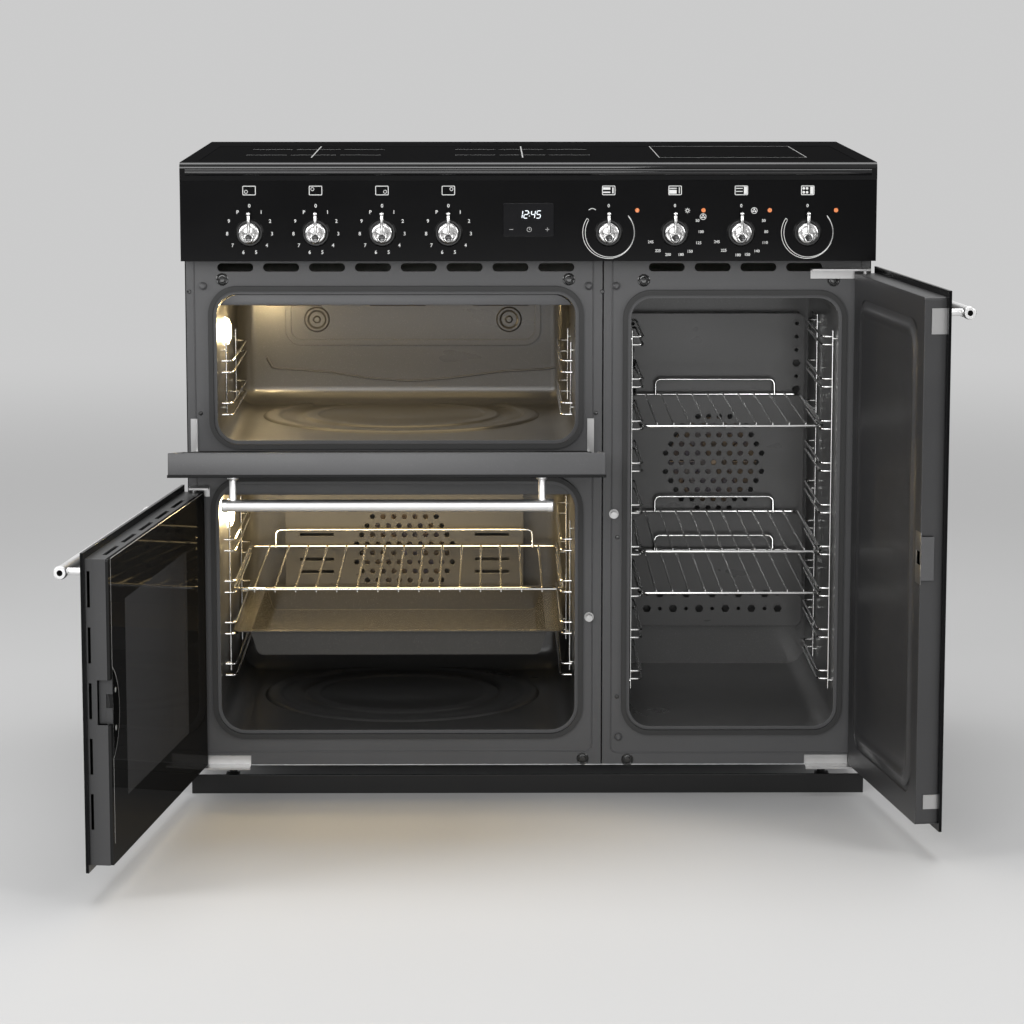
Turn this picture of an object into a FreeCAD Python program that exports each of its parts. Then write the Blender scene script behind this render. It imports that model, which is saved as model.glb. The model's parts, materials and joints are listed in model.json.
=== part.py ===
"""A range cooker with three ovens, in millimetres: +X right, +Y back, +Z up.

The origin is on the floor, at mid-width, on the front plane of the carcass. The three doors are
drawn closed and then swung about their hinge pins to the open stop, which is their rest place.
"""

import FreeCAD
import Part
import math
import os
import re
import Sketcher

V = FreeCAD.Vector

doc = FreeCAD.newDocument("range_cooker")
sheet = doc.addObject("Spreadsheet::Sheet", "Sizes")

# Driving sizes. Lengths in millimetres, angles in degrees.
SIZES = {
    # carcass
    "overall_width": 1000,
    "worktop_height": 935,
    "carcass_depth": 548,
    "carcass_inset": 2,
    "sheet_thick": 1.5,
    "carcass_foot": 40,
    "flange_wide": 20,
    "frame_return": 12,
    "column_gap": 2,
    "plinth_tall": 28,
    "plinth_set": 4,
    "foot_radius": 22,
    "foot_thick": 8,
    "stem_radius": 6,
    "foot_inset_x": 60,
    "foot_inset_y": 45,
    "foot_flare": 3,
    "clip_wide": 20,
    "clip_low": 12,
    "clip_high": 22,
    "vent_wide": 320,
    "vent_tall": 6,
    "vent_pitch": 18,
    "vent_drop": 60,
    "slot_wide": 52,
    "slot_tall": 12,
    "slot_pitch": 66.5,
    "slot_drop": 8,
    "slot_round": 5.9,
    # hob
    "hob_thick": 25,
    "hob_front": 46,
    "hob_back": 6,
    "hob_wall": 3,
    "hob_round": 8,
    "nose_radius": 5,
    "nose_rise": 11,
    "nose_set": 3,
    "nose_inset": 8,
    "glass_thick": 4,
    "glass_margin_x": 24,
    "glass_start": 7,
    "glass_deep": 413,
    "glass_seat": 4,
    "coil_radius": 78,
    "coil_thick": 15,
    "coil_spread": 155,
    "coil_near": 165,
    "coil_far": 324,
    "coil_shift": 8,
    "coil_round": 30,
    "zone_wide": 217,
    "zone_left": 194,
    "zone_start": 95,
    "zone_deep": 319,
    "louvre_wide": 40,
    "louvre_deep": 8,
    "louvre_pitch": 48,
    "louvre_shift": 20,
    "louvre_gap": 55,
    "glass_gap": 0.3,
    # fascia
    "fascia_tall": 116.5,
    "fascia_reach": 42,
    "fascia_wall": 3.5,
    "knob_first": 115,
    "knob_pitch": 95.2,
    "knob_drop": 75.5,
    "shaft_radius": 3,
    "shaft_clear": 0.05,
    "shaft_hole": 4.5,
    "bezel_radius": 20.5,
    "bezel_tall": 5,
    "bezel_clear": 0.8,
    "cap_gap": 1,
    "cap_radius": 14.9,
    "cap_tall": 16,
    "cap_groove": 1.4,
    "hub_radius": 7.4,
    "hub_recess": 4.5,
    "hub_drop": 6,
    "lever_reach": 31,
    "lever_wide": 4.6,
    "lever_tall": 8,
    "tip_radius": 2.9,
    "shaft_in": 14,
    "shaft_bore": 17,
    "switch_wide": 38,
    "switch_deep": 28,
    "lamp_radius": 3,
    "lamp_side": 41,
    "lamp_rise": 32,
    "window_wide": 73,
    "window_tall": 48,
    "window_drop": 57,
    "window_gap": 0.3,
    "window_flange": 3,
    "window_back": 2.5,
    # doors
    "door_front": 42,
    "door_drop": 10.5,
    "door_foot": 38.5,
    "door_gap": 4,
    "right_door_wide": 392,
    "drop_door_tall": 305,
    "oven_door_gap": 14,
    "skin_thick": 4,
    "door_back": 7,
    "window_side": 105,
    "window_foot": 95,
    "window_head": 75,
    "drop_window_foot": 60,
    "window_round": 12,
    "pane_overlap": 14,
    "catch_half": 30,
    "catch_deep": 18,
    "main_catch_side": 12,
    "tall_catch_side": 24,
    "main_catch_rise": 14,
    "tall_catch_rise": 8,
    "press_inset": 34,
    "press_round": 24,
    "press_deep": 1.5,
    "clip_out": 1.5,
    "clip_deep": 21,
    "pane_thick": 4,
    "body_inset": 9,
    "drop_body_inset": 20,
    "body_wall": 3,
    "pivot_in": 12,
    "pivot_deep": 22,
    "drop_pivot_rise": 22,
    "main_open": 97.6,
    "tall_open": 98.4,
    "drop_open": 82.4,
    "hinge_reach": 78,
    "hinge_short": 22,
    "hinge_tall": 16,
    "pin_radius": 4,
    "pin_rise": 9,
    "pin_clear": 0.05,
    "plate_thick": 3,
    "plate_near": 14,
    "arm_tip": 7,
    "arm_front": 6,
    "arm_gap": 3.5,
    "drop_arm_gap": 2.5,
    "drop_arm_low": 9,
    "drop_arm_high": 12,
    "drop_plate_tall": 60,
    "drop_plate_wide": 7,
    "drop_plate_thick": 2,
    # handles
    "bar_radius": 8.4,
    "bar_cap_radius": 9.2,
    "bar_cap_long": 8,
    "bar_chamfer": 1.5,
    "bar_drop": 35,
    "bar_standoff": 39,
    "drop_bar_margin": 72,
    "side_bar_margin": 45,
    "post_radius": 5,
    "post_foot_radius": 8,
    "post_inset": 16,
    "post_foot_tall": 2,
    "post_neck": 4,
    # ovens
    "oven_left_margin": 45,
    "oven_right_margin": 39,
    "main_floor": 95,
    "main_head": 1,
    "grill_floor_rise": 50,
    "grill_head": 41,
    "tall_side_margin": 40,
    "tall_outer_margin": 46,
    "tall_floor": 100,
    "tall_head": 47,
    "main_round": 37,
    "grill_round": 30,
    "main_rear_round": 32,
    "grill_rear_round": 28,
    "main_deep": 470,
    "grill_deep": 430,
    "panel_left": 75,
    "panel_right": 44,
    "panel_foot": 93,
    "panel_head": 16,
    "panel_rib": 9,
    "panel_tall": 3,
    "panel_round": 26,
    "dimple_side": 50,
    "dimple_drop": 64,
    "dimple_radius": 20,
    "seal_wide": 7,
    "seal_gap": 5,
    "seal_tall": 6.2,
    "wool_thick": 20,
    "wool_gap": 0.5,
    "motor_gap": 5,
    "shaft_way": 8,
    "element_drop": 22,
    "element_side": 70,
    "element_near": 90,
    "element_far": 60,
    "lamp_glass_radius": 22,
    "lamp_glass_tall": 9,
    "lamp_glass_drop": 70,
    "lamp_glass_front": 60,
    # wires
    "wire_radius": 2,
    "frame_wire_radius": 2.5,
    "ride_gap": 0.3,
    "rack_stand": 3,
    "rack_reach": 17,
    "rack_front": 45,
    "rack_end": 6,
    "level_pitch": 62.6,
    "main_level_rise": 74,
    "main_pair_gap": 17,
    "tall_level_rise": 62.4,
    "tall_pair_gap": 12,
    "grill_level_rise": 32,
    "shelf_side_gap": 14.5,
    "shelf_guard": 22,
    "shelf_back_gap": 12,
    "guard_inset": 45,
    "cross_lift": 1.2,
    "rack_overrun": 8,
    "rack_foot": 14,
    "main_rack_head": 60,
    "tall_rack_head": 40,
    "tray_deep": 38,
    "tray_lip": 12,
    "tray_wall": 1.5,
    "tray_slope": 4,
    "tray_foot": 8,
    # fans
    "fan_radius": 70,
    "fan_disc_thick": 1.2,
    "fan_blade_deep": 15,
    "ring_radius": 90,
    "ring_wire": 3.2,
    "element_radius": 3.5,
    "cover_stand": 30,
    "main_cover_wide": 380,
    "main_cover_low": 170,
    "main_cover_high": 402,
    "main_fan_rise": 191,
    "tall_cover_margin": 8,
    "tall_cover_low": 67,
    "tall_cover_drop": 66,
    "tall_fan_rise": 332,
    "field_radius": 80,
    "field_hole": 4.6,
    "field_pitch": 17,
    "motor_radius": 34,
    "motor_deep": 46,
    "boss_radius": 16,
    "boss_tall": 8,
    "motor_start": 12,
    "motor_bore": 24,
    "fan_shaft_in": 20,
    "hub_small": 7,
    "hub_big": 9,
    "blade_inner": 30,
    "blade_thick": 1.5,
    "fan_back_gap": 5,
    # small fittings
    "box_left": 250,
    "box_right": 380,
    "box_low": 90,
    "box_high": 180,
    "box_wall": 6,
    "bumper_side": 19,
    "bumper_rise": 12,
}

# Places that follow from the driving sizes.
PLACES = {
    "half_width": "overall_width / 2",
    "carcass_half": "half_width - carcass_inset",
    "inner_half": "carcass_half - sheet_thick",
    "body_top": "worktop_height - hob_thick",
    "panel_base": "carcass_foot + 2 * sheet_thick",
    "fascia_low": "body_top - fascia_tall",
    "door_top": "fascia_low - door_drop",
    "right_door_left": "half_width - right_door_wide",
    "left_door_right": "right_door_left - door_gap",
    "split_left": "right_door_left + door_gap / 2 - column_gap",
    "split_right": "split_left + column_gap",
    "drop_door_foot": "door_top - drop_door_tall",
    "main_door_top": "drop_door_foot - oven_door_gap",
    "oven_left": "oven_left_margin - carcass_half",
    "oven_right": "split_left - oven_right_margin",
    "oven_middle": "(oven_left + oven_right) / 2",
    "main_roof": "main_door_top - main_head",
    "grill_floor": "drop_door_foot + grill_floor_rise",
    "grill_roof": "door_top - grill_head",
    "tall_left": "split_right + tall_side_margin",
    "tall_right": "carcass_half - tall_outer_margin",
    "tall_middle": "(tall_left + tall_right) / 2",
    "tall_roof": "door_top - tall_head",
    "knob_height": "body_top - knob_drop",
    "window_height": "body_top - window_drop",
    "skin_back": "skin_thick - door_front",
    "body_back": "-(door_back + pane_thick)",
    "left_pivot": "pivot_in - half_width",
    "right_pivot": "half_width - pivot_in",
    "drop_pivot": "drop_door_foot + drop_pivot_rise",
    "body_foot": "door_foot + body_inset",
    "cover_face": "main_deep - cover_stand",
    "main_fan_height": "main_floor + main_fan_rise",
    "tall_fan_height": "tall_floor + tall_fan_rise",
    "main_catch": "(door_foot + main_door_top) / 2 + main_catch_rise",
    "tall_catch": "(door_foot + door_top) / 2 + tall_catch_rise",
    "rear_face": "carcass_depth - sheet_thick",
    "main_level_first": "main_floor + main_level_rise",
    "tall_level_first": "tall_floor + tall_level_rise",
    "grill_level_first": "grill_floor + grill_level_rise",
    "rack_back": "cover_face - rack_end",
    "grill_rack_back": "grill_deep - 90",
}

for row, (name, value) in enumerate({**SIZES, **{k: "=" + v for k, v in PLACES.items()}}.items(), 1):
    sheet.set(f"A{row}", name.replace("_", " "))
    sheet.set(f"B{row}", str(value))
    sheet.setAlias(f"B{row}", name)
doc.recompute()

ALIAS = re.compile(r"\b(" + "|".join([*SIZES, *PLACES]) + r")\b")
TURNED = {
    "X": FreeCAD.Rotation(V(0, 1, 0), 90),
    "Y": FreeCAD.Rotation(V(1, 0, 0), -90),
    "Z": FreeCAD.Rotation(),
}
PLANES = {"XY": "z", "XZ": "y", "YZ": "x"}
nodes = {}


def on_sheet(text):
    """An expression on the sheet's aliases."""
    return ALIAS.sub(r"Sizes.\1", str(text))


def number(text):
    """The present value of an expression on the sheet."""
    return float(sheet.evalExpression(on_sheet(text)))


def bind(thing, **sizes):
    """Binds a thing's properties to expressions; a double underscore stands for a dot."""
    for name, text in sizes.items():
        thing.setExpression(name.replace("__", "."), on_sheet(text))


def at(thing, x=0, y=0, z=0):
    """Binds a thing's place."""
    bind(thing, Placement__Base__x=x, Placement__Base__y=y, Placement__Base__z=z)
    return thing


def block(x0, x1, y0, y1, z0, z1):
    """A box between two corners."""
    thing = doc.addObject("Part::Box", "block")
    bind(thing, Length=f"({x1}) - ({x0})", Width=f"({y1}) - ({y0})", Height=f"({z1}) - ({z0})")
    return at(thing, x0, y0, z0)


def rod(axis, radius, x, y, z, length):
    """A round bar that starts at x, y, z and runs along an axis."""
    thing = doc.addObject("Part::Cylinder", "rod")
    thing.Placement = FreeCAD.Placement(V(), TURNED[axis])
    bind(thing, Radius=radius, Height=length)
    return at(thing, x, y, z)


def wire(axis, radius, x, y, z, length, sides=6):
    """A thin wire with few faces."""
    thing = doc.addObject("Part::Prism", "wire")
    thing.Polygon = sides
    thing.Placement = FreeCAD.Placement(V(), TURNED[axis])
    bind(thing, Circumradius=radius, Height=length)
    return at(thing, x, y, z)


def cut(base, *tools):
    """A solid less one or more others."""
    thing = doc.addObject("Part::Cut", "cut")
    thing.Base = base
    thing.Tool = tools[0] if len(tools) == 1 else group(tools)
    return thing


def fuse(*parts):
    """Solids made one."""
    thing = doc.addObject("Part::MultiFuse", "joined")
    thing.Shapes = list(parts)
    return thing


def group(parts):
    """Separate solids kept together."""
    thing = doc.addObject("Part::Compound", "group")
    thing.Links = list(parts)
    return thing


def node(label, thing):
    """Names a finished sub-part."""
    thing.Label = label
    nodes[label] = thing
    return thing


def outline(body, plane, points, name="outline"):
    """A closed sketch through points whose coordinates are bound to the sheet."""
    sketch = body.newObject("Sketcher::SketchObject", name)
    role = plane + "_Plane"
    sketch.AttachmentSupport = [(f, "") for f in body.Origin.OriginFeatures if f.Role == role]
    sketch.MapMode = "FlatFace"
    corners = [V(number(a), number(b), 0) for a, b in points]
    count = len(corners)
    for i in range(count):
        sketch.addGeometry(Part.LineSegment(corners[i], corners[(i + 1) % count]), False)
    for i in range(count):
        sketch.addConstraint(Sketcher.Constraint("Coincident", i, 2, (i + 1) % count, 1))
    for i, (a, b) in enumerate(points):
        for kind, text, value in (("DistanceX", a, corners[i].x), ("DistanceY", b, corners[i].y)):
            index = sketch.addConstraint(Sketcher.Constraint(kind, -1, 1, i, 1, value))
            sketch.setExpression(f"Constraints[{index}]", on_sheet(text))
    return sketch


def prism(plane, points, start, length, radius=None, corners=None):
    """An outline drawn along its plane's normal, with some of its corners rounded."""
    body = doc.addObject("PartDesign::Body", "prism")
    sketch = outline(body, plane, points)
    pad = body.newObject("PartDesign::Pad", "pad")
    pad.Profile = sketch
    pad.Reversed = plane == "XZ"
    bind(pad, Length=length)
    sketch.recompute()
    pad.recompute()
    if radius:
        soften(body, pad, plane, points, radius, corners)
    at(body, **{PLANES[plane]: start})
    return body


def soften(body, pad, plane, points, radius, corners=None):
    """Rounds a pad's long edges at the numbered points of its outline, or at all of them."""
    first, second = ("XYZ".index(letter) for letter in plane)
    wanted = [points[i] for i in corners] if corners else points
    wanted = [(number(a), number(b)) for a, b in wanted]
    edges = []
    for index, edge in enumerate(pad.Shape.Edges, 1):
        ends = [v.Point for v in edge.Vertexes]
        place = (ends[0][first], ends[0][second])
        along = len(ends) == 2 and math.dist(place, (ends[1][first], ends[1][second])) < 1e-6
        if along and any(math.dist(place, w) < 1e-6 for w in wanted):
            edges.append(f"Edge{index}")
    fillet = body.newObject("PartDesign::Fillet", "round")
    fillet.Base = (pad, edges)
    bind(fillet, Radius=radius)
    fillet.recompute()
    return fillet


def box_outline(a0, a1, b0, b1):
    """The four corners of a rectangle."""
    return [(a0, b0), (a1, b0), (a1, b1), (a0, b1)]


def slab(x0, x1, z0, z1, y0, y1, radius=None):
    """An upright plate or block with its four corners rounded."""
    return prism("XZ", box_outline(x0, x1, z0, z1), y0, f"({y1}) - ({y0})", radius)


def pan(x0, x1, z0, z1, y0, y1, wall, radius=None):
    """A shallow tray of sheet, closed at the front and open at the back."""
    inner = [f"({x0}) + {wall}", f"({x1}) - {wall}", f"({z0}) + {wall}", f"({z1}) - {wall}"]
    inner_radius = radius and f"max({radius} - {wall}; 0.2)"
    hollow = slab(*inner, f"({y0}) + {wall}", f"({y1}) + 1", inner_radius)
    return cut(slab(x0, x1, z0, z1, y0, y1, radius), hollow)


def turned(axis, points, x=0, y=0, z=0):
    """A solid of revolution; points are (radius, place along the axis)."""
    body = doc.addObject("PartDesign::Body", "turned")
    plane = "XY" if axis == "Y" else "XZ"
    sketch = outline(body, plane, points)
    spin = body.newObject("PartDesign::Revolution", "spin")
    spin.Profile = sketch
    spin.ReferenceAxis = (sketch, ["V_Axis"])
    spin.Angle = 360
    sketch.recompute()
    spin.recompute()
    return at(body, x, y, z)


def swing(thing, axis, angle, first, second):
    """Turns a finished door piece about its hinge line by an angle bound to the sheet.

    first and second are the hinge line's coordinates across the axis, in X, Y, Z order.
    """
    across = {"X": ("y", "z"), "Z": ("x", "y")}[axis[-1]]
    sense = -1 if axis[0] == "-" else 1
    way = V(*(sense * (letter == axis[-1]) for letter in "XYZ"))
    thing.Placement = FreeCAD.Placement(V(), FreeCAD.Rotation(way, 10))
    c, s = f"cos(({angle}) * 1deg)", f"sin(({sense} * {angle}) * 1deg)"
    bind(
        thing,
        Placement__Rotation__Angle=angle,
        **{
            f"Placement__Base__{across[0]}": f"{first} - ({first} * {c} - {second} * {s})",
            f"Placement__Base__{across[1]}": f"{second} - ({first} * {s} + {second} * {c})",
        },
    )
    return thing


# ---------------------------------------------------------------- carcass


def carcass():
    """Side panels, back, base, front frames, plinth and feet."""
    sides = []
    for side in (-1, 1):
        wall, lip = f"{side} * carcass_half", f"{side} * (inner_half - flange_wide)"
        inner = f"{side} * inner_half"
        points = [
            (wall, "carcass_foot"),
            (lip, "carcass_foot"),
            (lip, "carcass_foot + sheet_thick"),
            (inner, "carcass_foot + sheet_thick"),
            (inner, "body_top - sheet_thick"),
            (lip, "body_top - sheet_thick"),
            (lip, "body_top"),
            (wall, "body_top"),
        ]
        sides.append(prism("XZ", points, 0, "rear_face"))
    node("side_panels", group(sides))

    back = slab("-carcass_half", "carcass_half", "carcass_foot", "body_top", "rear_face", "carcass_depth")
    vents = []
    for level in range(5):
        height = f"body_top - vent_drop - {level} * vent_pitch"
        vents.append(slab("-vent_wide / 2", "vent_wide / 2", f"{height} - vent_tall / 2", f"{height} + vent_tall / 2",
                          "rear_face - 1", "carcass_depth + 1", "vent_tall / 2 - 0.1"))
    node("back_panel", cut(back, *vents))

    base = block("-inner_half", "inner_half", 0, "rear_face", "carcass_foot + sheet_thick", "panel_base")
    node("base_pan", base)

    feet = []
    clips = []
    notches = []
    profile = [
        (0, 0),
        ("foot_radius", 0),
        ("foot_radius - foot_flare", "foot_thick"),
        ("stem_radius", "foot_thick"),
        ("stem_radius", "carcass_foot + sheet_thick"),
        (0, "carcass_foot + sheet_thick"),
    ]
    for side in (-1, 1):
        x = f"{side} * (half_width - foot_inset_x)"
        for y in ("foot_inset_y", "carcass_depth - foot_inset_y"):
            feet.append(turned("Z", profile, x, y))
        clips.append(block(f"{x} - clip_wide / 2", f"{x} + clip_wide / 2", "-plinth_set", "foot_inset_y",
                           "clip_low", "clip_high"))
        notches.append(rod("Z", "stem_radius", x, "foot_inset_y", 0, "carcass_foot"))
    node("levelling_feet", group(feet))

    front = "-plinth_set"
    face = f"{front} + sheet_thick"
    points = [
        (front, 0),
        ("flange_wide", 0),
        ("flange_wide", "sheet_thick"),
        (face, "sheet_thick"),
        (face, "plinth_tall - sheet_thick"),
        (0, "plinth_tall - sheet_thick"),
        (0, "plinth_tall"),
        (front, "plinth_tall"),
    ]
    board = prism("YZ", points, "-carcass_half", "2 * carcass_half", 1.2, [7])
    node("plinth", cut(fuse(board, *clips), *notches))


def front_frames():
    """The two pressed frames round the oven mouths, with a row of cooling slots along the top."""
    mouth = ("-1", "sheet_thick + 1")
    top = "fascia_low - sheet_thick"
    left = pan("-inner_half", "split_left", "panel_base", top, 0, "frame_return", "sheet_thick")
    right = pan("split_right", "inner_half", "panel_base", top, 0, "frame_return", "sheet_thick")
    slots = "door_top - slot_drop", "door_top - slot_drop + slot_tall"
    left_cuts = [
        slab("oven_left", "oven_right", "grill_floor", "grill_roof", *mouth, "grill_round"),
        slab("oven_left", "oven_right", "main_floor", "main_roof", *mouth, "main_round"),
    ]
    for i in range(8):
        x = f"oven_middle + ({i} - 3.5) * slot_pitch"
        left_cuts.append(slab(f"{x} - slot_wide / 2", f"{x} + slot_wide / 2", *slots, *mouth, "slot_round"))
    right_cuts = [slab("tall_left", "tall_right", "tall_floor", "tall_roof", *mouth, "grill_round")]
    for i in range(4):
        x = f"tall_middle + ({i} - 1.5) * slot_pitch"
        right_cuts.append(slab(f"{x} - slot_wide / 2", f"{x} + slot_wide / 2", *slots, *mouth, "slot_round"))
    node("front_frame_left", cut(left, *left_cuts))
    node("front_frame_right", cut(right, *right_cuts))


# ---------------------------------------------------------------- hob


def hob():
    """The pressed hob frame, its glass and the coils on its floor."""
    front, back = "(nose_set - hob_front)", "(carcass_depth + hob_back)"
    shell = [(front, "body_top"), (back, "body_top"), (back, "worktop_height"), (front, "worktop_height")]
    outer = prism("YZ", shell, "-half_width", "overall_width", "hob_round", [3])
    nose = rod("X", "nose_radius", "nose_inset - half_width", "nose_radius - hob_front", "body_top + nose_rise",
               "overall_width - 2 * nose_inset")
    glass = ["glass_margin_x - half_width", "half_width - glass_margin_x", "glass_start", "glass_start + glass_deep"]
    hollow = block(
        "hob_wall - half_width",
        "half_width - hob_wall",
        f"{front} + hob_wall",
        f"{back} - hob_wall",
        "body_top + hob_wall",
        "worktop_height - hob_wall",
    )
    seat = block(*glass, "worktop_height - glass_thick", "worktop_height + 1")
    ledge_foot = "worktop_height - glass_thick - hob_wall"
    outset = [f"({g}) {sign} glass_seat" for g, sign in zip(glass, "-+-+")]
    hollow = cut(hollow, block(*outset, ledge_foot, "worktop_height"))
    inset = [f"({g}) {sign} glass_seat" for g, sign in zip(glass, "+-+-")]
    opening = block(*inset, f"{ledge_foot} - 1", "worktop_height + 1")
    louvres = []
    for i in range(12):
        x = f"({i} - 5.5) * louvre_pitch - louvre_shift"
        y = "glass_start + glass_deep + louvre_gap"
        points = box_outline(f"{x} - louvre_wide / 2", f"{x} + louvre_wide / 2", f"{y} - louvre_deep / 2",
                             f"{y} + louvre_deep / 2")
        louvres.append(prism("XY", points, "worktop_height - hob_wall - 1", "hob_wall + 2"))
    node("hob_frame", cut(fuse(outer, nose), hollow, seat, opening, *louvres))

    ledge = "worktop_height - glass_thick"
    points = box_outline(*(f"({g}) {sign} glass_gap" for g, sign in zip(glass, "+-+-")))
    node("hob_glass", prism("XY", points, ledge, "glass_thick - 0.4", 4))

    coils = []
    floor = "body_top + hob_wall"
    for x in ("-2 * coil_spread - coil_shift", "-coil_shift"):
        for y in ("coil_near", "coil_far"):
            coils.append(rod("Z", "coil_radius", x, y, floor, "coil_thick"))
    zone = box_outline("zone_left", "zone_left + zone_wide", "zone_start", "zone_start + zone_deep")
    coils.append(prism("XY", zone, floor, "coil_thick", "coil_round"))
    node("induction_coils", group(coils))


# ---------------------------------------------------------------- controls


def knob_places():
    """The knobs' distances from mid-width, from left to right."""
    steps = [f"knob_first + {i} * knob_pitch" for i in range(4)]
    return [f"-({s})" for s in reversed(steps)] + steps


def controls():
    """The fascia with its window, lamps, bezels and switches, and the eight knobs."""
    front = "-fascia_reach"
    wall_back = "fascia_wall - fascia_reach"
    shell = pan("-half_width", "half_width", "fascia_low", "body_top", front, 0, "fascia_wall")
    through = (f"{front} - 1", "fascia_wall + 2")
    holes = [rod("Y", "shaft_hole", x, through[0], "knob_height", through[1]) for x in knob_places()]
    lamp_x = [f"{x} + lamp_side" for x in knob_places()[4:]]
    lamp_z = "knob_height + lamp_rise"
    holes += [rod("Y", "lamp_radius + 0.2", x, through[0], lamp_z, through[1]) for x in lamp_x]
    half_wide, half_tall = "window_wide / 2", "window_tall / 2"
    window = [f"-{half_wide}", half_wide, f"window_height - {half_tall}", f"window_height + {half_tall}"]
    holes.append(slab(*window, f"{front} - 1", f"{wall_back} + 1", 3))
    node("control_fascia", cut(shell, *holes))

    wider = [f"{w} {sign} window_flange" for w, sign in zip(window, "-+-+")]
    behind = slab(*wider, wall_back, f"{wall_back} + window_back")
    inside = [f"{w} {sign} window_gap" for w, sign in zip(window, "+-+-")]
    lens = slab(*inside, f"{front} + 0.5", f"{wall_back} + 1", 2.7)
    node("display_window", fuse(behind, lens))

    lamp = [
        (0, f"{front} - 1"),
        ("lamp_radius", f"{front} - 1"),
        ("lamp_radius", wall_back),
        ("lamp_radius + 1.5", wall_back),
        ("lamp_radius + 1.5", f"{wall_back} + 2"),
        (0, f"{wall_back} + 2"),
    ]
    node("indicator_lamps", group([turned("Y", lamp, x, 0, lamp_z) for x in lamp_x]))

    bore = "cap_radius + bezel_clear"
    bezel = [
        (bore, front),
        ("bezel_radius", front),
        ("bezel_radius - 2.5", f"{front} - bezel_tall"),
        (bore, f"{front} - bezel_tall"),
    ]
    node("knob_bezels", group([turned("Y", bezel, x, 0, "knob_height") for x in knob_places()]))

    switches = []
    for x in knob_places():
        half = "switch_wide / 2"
        body = slab(f"{x} - {half}", f"{x} + {half}", f"knob_height - {half}", f"knob_height + {half}",
                    wall_back, f"{wall_back} + switch_deep")
        bore = rod("Y", "shaft_radius + shaft_clear", x, f"{wall_back} - 1", "knob_height", "shaft_bore")
        switches.append(cut(body, bore))
    node("switch_bodies", group(switches))

    for i, x in enumerate(knob_places(), 1):
        node(f"knob_{i}", knob(x, front, wall_back))


def knob(x, front, wall_back):
    """A stepped cap on its shaft, with a slim lever that rises from a dished hub below the middle."""
    face = f"{front} - cap_gap"
    crown = f"({face} - cap_tall)"
    top = f"({crown} - lever_tall)"
    cap = [
        (0, f"{wall_back} + shaft_in"),
        ("shaft_radius", f"{wall_back} + shaft_in"),
        ("shaft_radius", face),
        ("cap_radius", face),
        ("cap_radius", f"{crown} + 2.4"),
        ("cap_radius - 1.6", f"{crown} + 0.6"),
        ("cap_radius - 4", f"{crown} + 0.6"),
        ("cap_radius - 4.5", f"{crown} + cap_groove + 0.6"),
        ("cap_radius - 5.5", f"{crown} + cap_groove + 0.6"),
        ("cap_radius - 6", crown),
        (0, crown),
    ]
    hub = [
        (0, f"{crown} + 1"),
        ("hub_radius", f"{crown} + 1"),
        ("hub_radius", f"{top} + 1.6"),
        ("hub_radius - 1.4", top),
        ("hub_recess", top),
        ("hub_recess", f"{top} + 2.2"),
        (0, f"{top} + 2.2"),
    ]
    half = "lever_wide / 2"
    tip = "knob_height + lever_reach - tip_radius"
    points = box_outline(f"-{half}", half, "knob_height", tip)
    blade = prism("XZ", points, f"{top} + 0.8", "lever_tall + 1")
    bind(blade, Placement__Base__x=x)
    bead = rod("Y", "tip_radius", x, f"{top} + 0.4", tip, "lever_tall")
    return fuse(turned("Y", cap, x, 0, "knob_height"), turned("Y", hub, x, 0, "knob_height - hub_drop"), blade, bead)


# ---------------------------------------------------------------- ovens


def round_rear(body, radius):
    """Rounds the rear edges of an upright block all the way round."""
    last = body.Group[-1]
    rear = last.Shape.BoundBox.YMax
    edges = [
        f"Edge{index}"
        for index, edge in enumerate(last.Shape.Edges, 1)
        if all(abs(vertex.Point.y - rear) < 1e-6 for vertex in edge.Vertexes)
    ]
    fillet = body.newObject("PartDesign::Fillet", "rear_round")
    fillet.Base = (last, edges)
    bind(fillet, Radius=radius)
    fillet.recompute()
    return body


def oven_shell(x0, x1, z0, z1, deep, radius, hole_z=None, rear=None):
    """A deep-drawn enamelled box open at the front, with a shaft hole in its back wall."""
    outer = slab(f"{x0} - sheet_thick", f"{x1} + sheet_thick", f"{z0} - sheet_thick", f"{z1} + sheet_thick",
                 "sheet_thick", f"{deep} + sheet_thick", f"{radius} + sheet_thick")
    inner = slab(x0, x1, z0, z1, 0, deep, radius)
    if rear:
        round_rear(outer, f"{rear} + sheet_thick")
        round_rear(inner, rear)
    if not hole_z:
        return cut(outer, inner)
    way = rod("Y", "shaft_way", f"({x0} + {x1}) / 2", f"{deep} - 1", hole_z, "sheet_thick + 2")
    return cut(outer, inner, way)


def grill_back():
    """The pressed panel on the grill oven's back: a rib round it and a screwed dimple at each side."""
    panel = ["oven_left + panel_left", "oven_right - panel_right", "grill_floor + panel_foot", "grill_roof - panel_head"]
    face = "(grill_deep - panel_tall)"
    raised = slab(*panel, face, "grill_deep + 1", "panel_round")
    inside = [f"{p} {sign} panel_rib" for p, sign in zip(panel, "+-+-")]
    dished = slab(*inside, f"{face} - 1", "grill_deep", "panel_round - panel_rib")
    dimple = [
        (0, "grill_deep + 1"),
        ("dimple_radius", "grill_deep + 1"),
        ("dimple_radius", "grill_deep - 1"),
        ("dimple_radius - 2", face),
        ("dimple_radius - 5", face),
        ("dimple_radius - 8", "grill_deep - 1"),
        ("0.3 * dimple_radius", "grill_deep - 1"),
        ("0.2 * dimple_radius", f"{face} - 1"),
        (0, f"{face} - 1"),
    ]
    z = "grill_roof - panel_head - dimple_drop"
    sides = ["oven_left + panel_left + dimple_side", "oven_right - panel_right - dimple_side"]
    return [cut(raised, dished), *(turned("Y", dimple, x, 0, z) for x in sides)]


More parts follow.
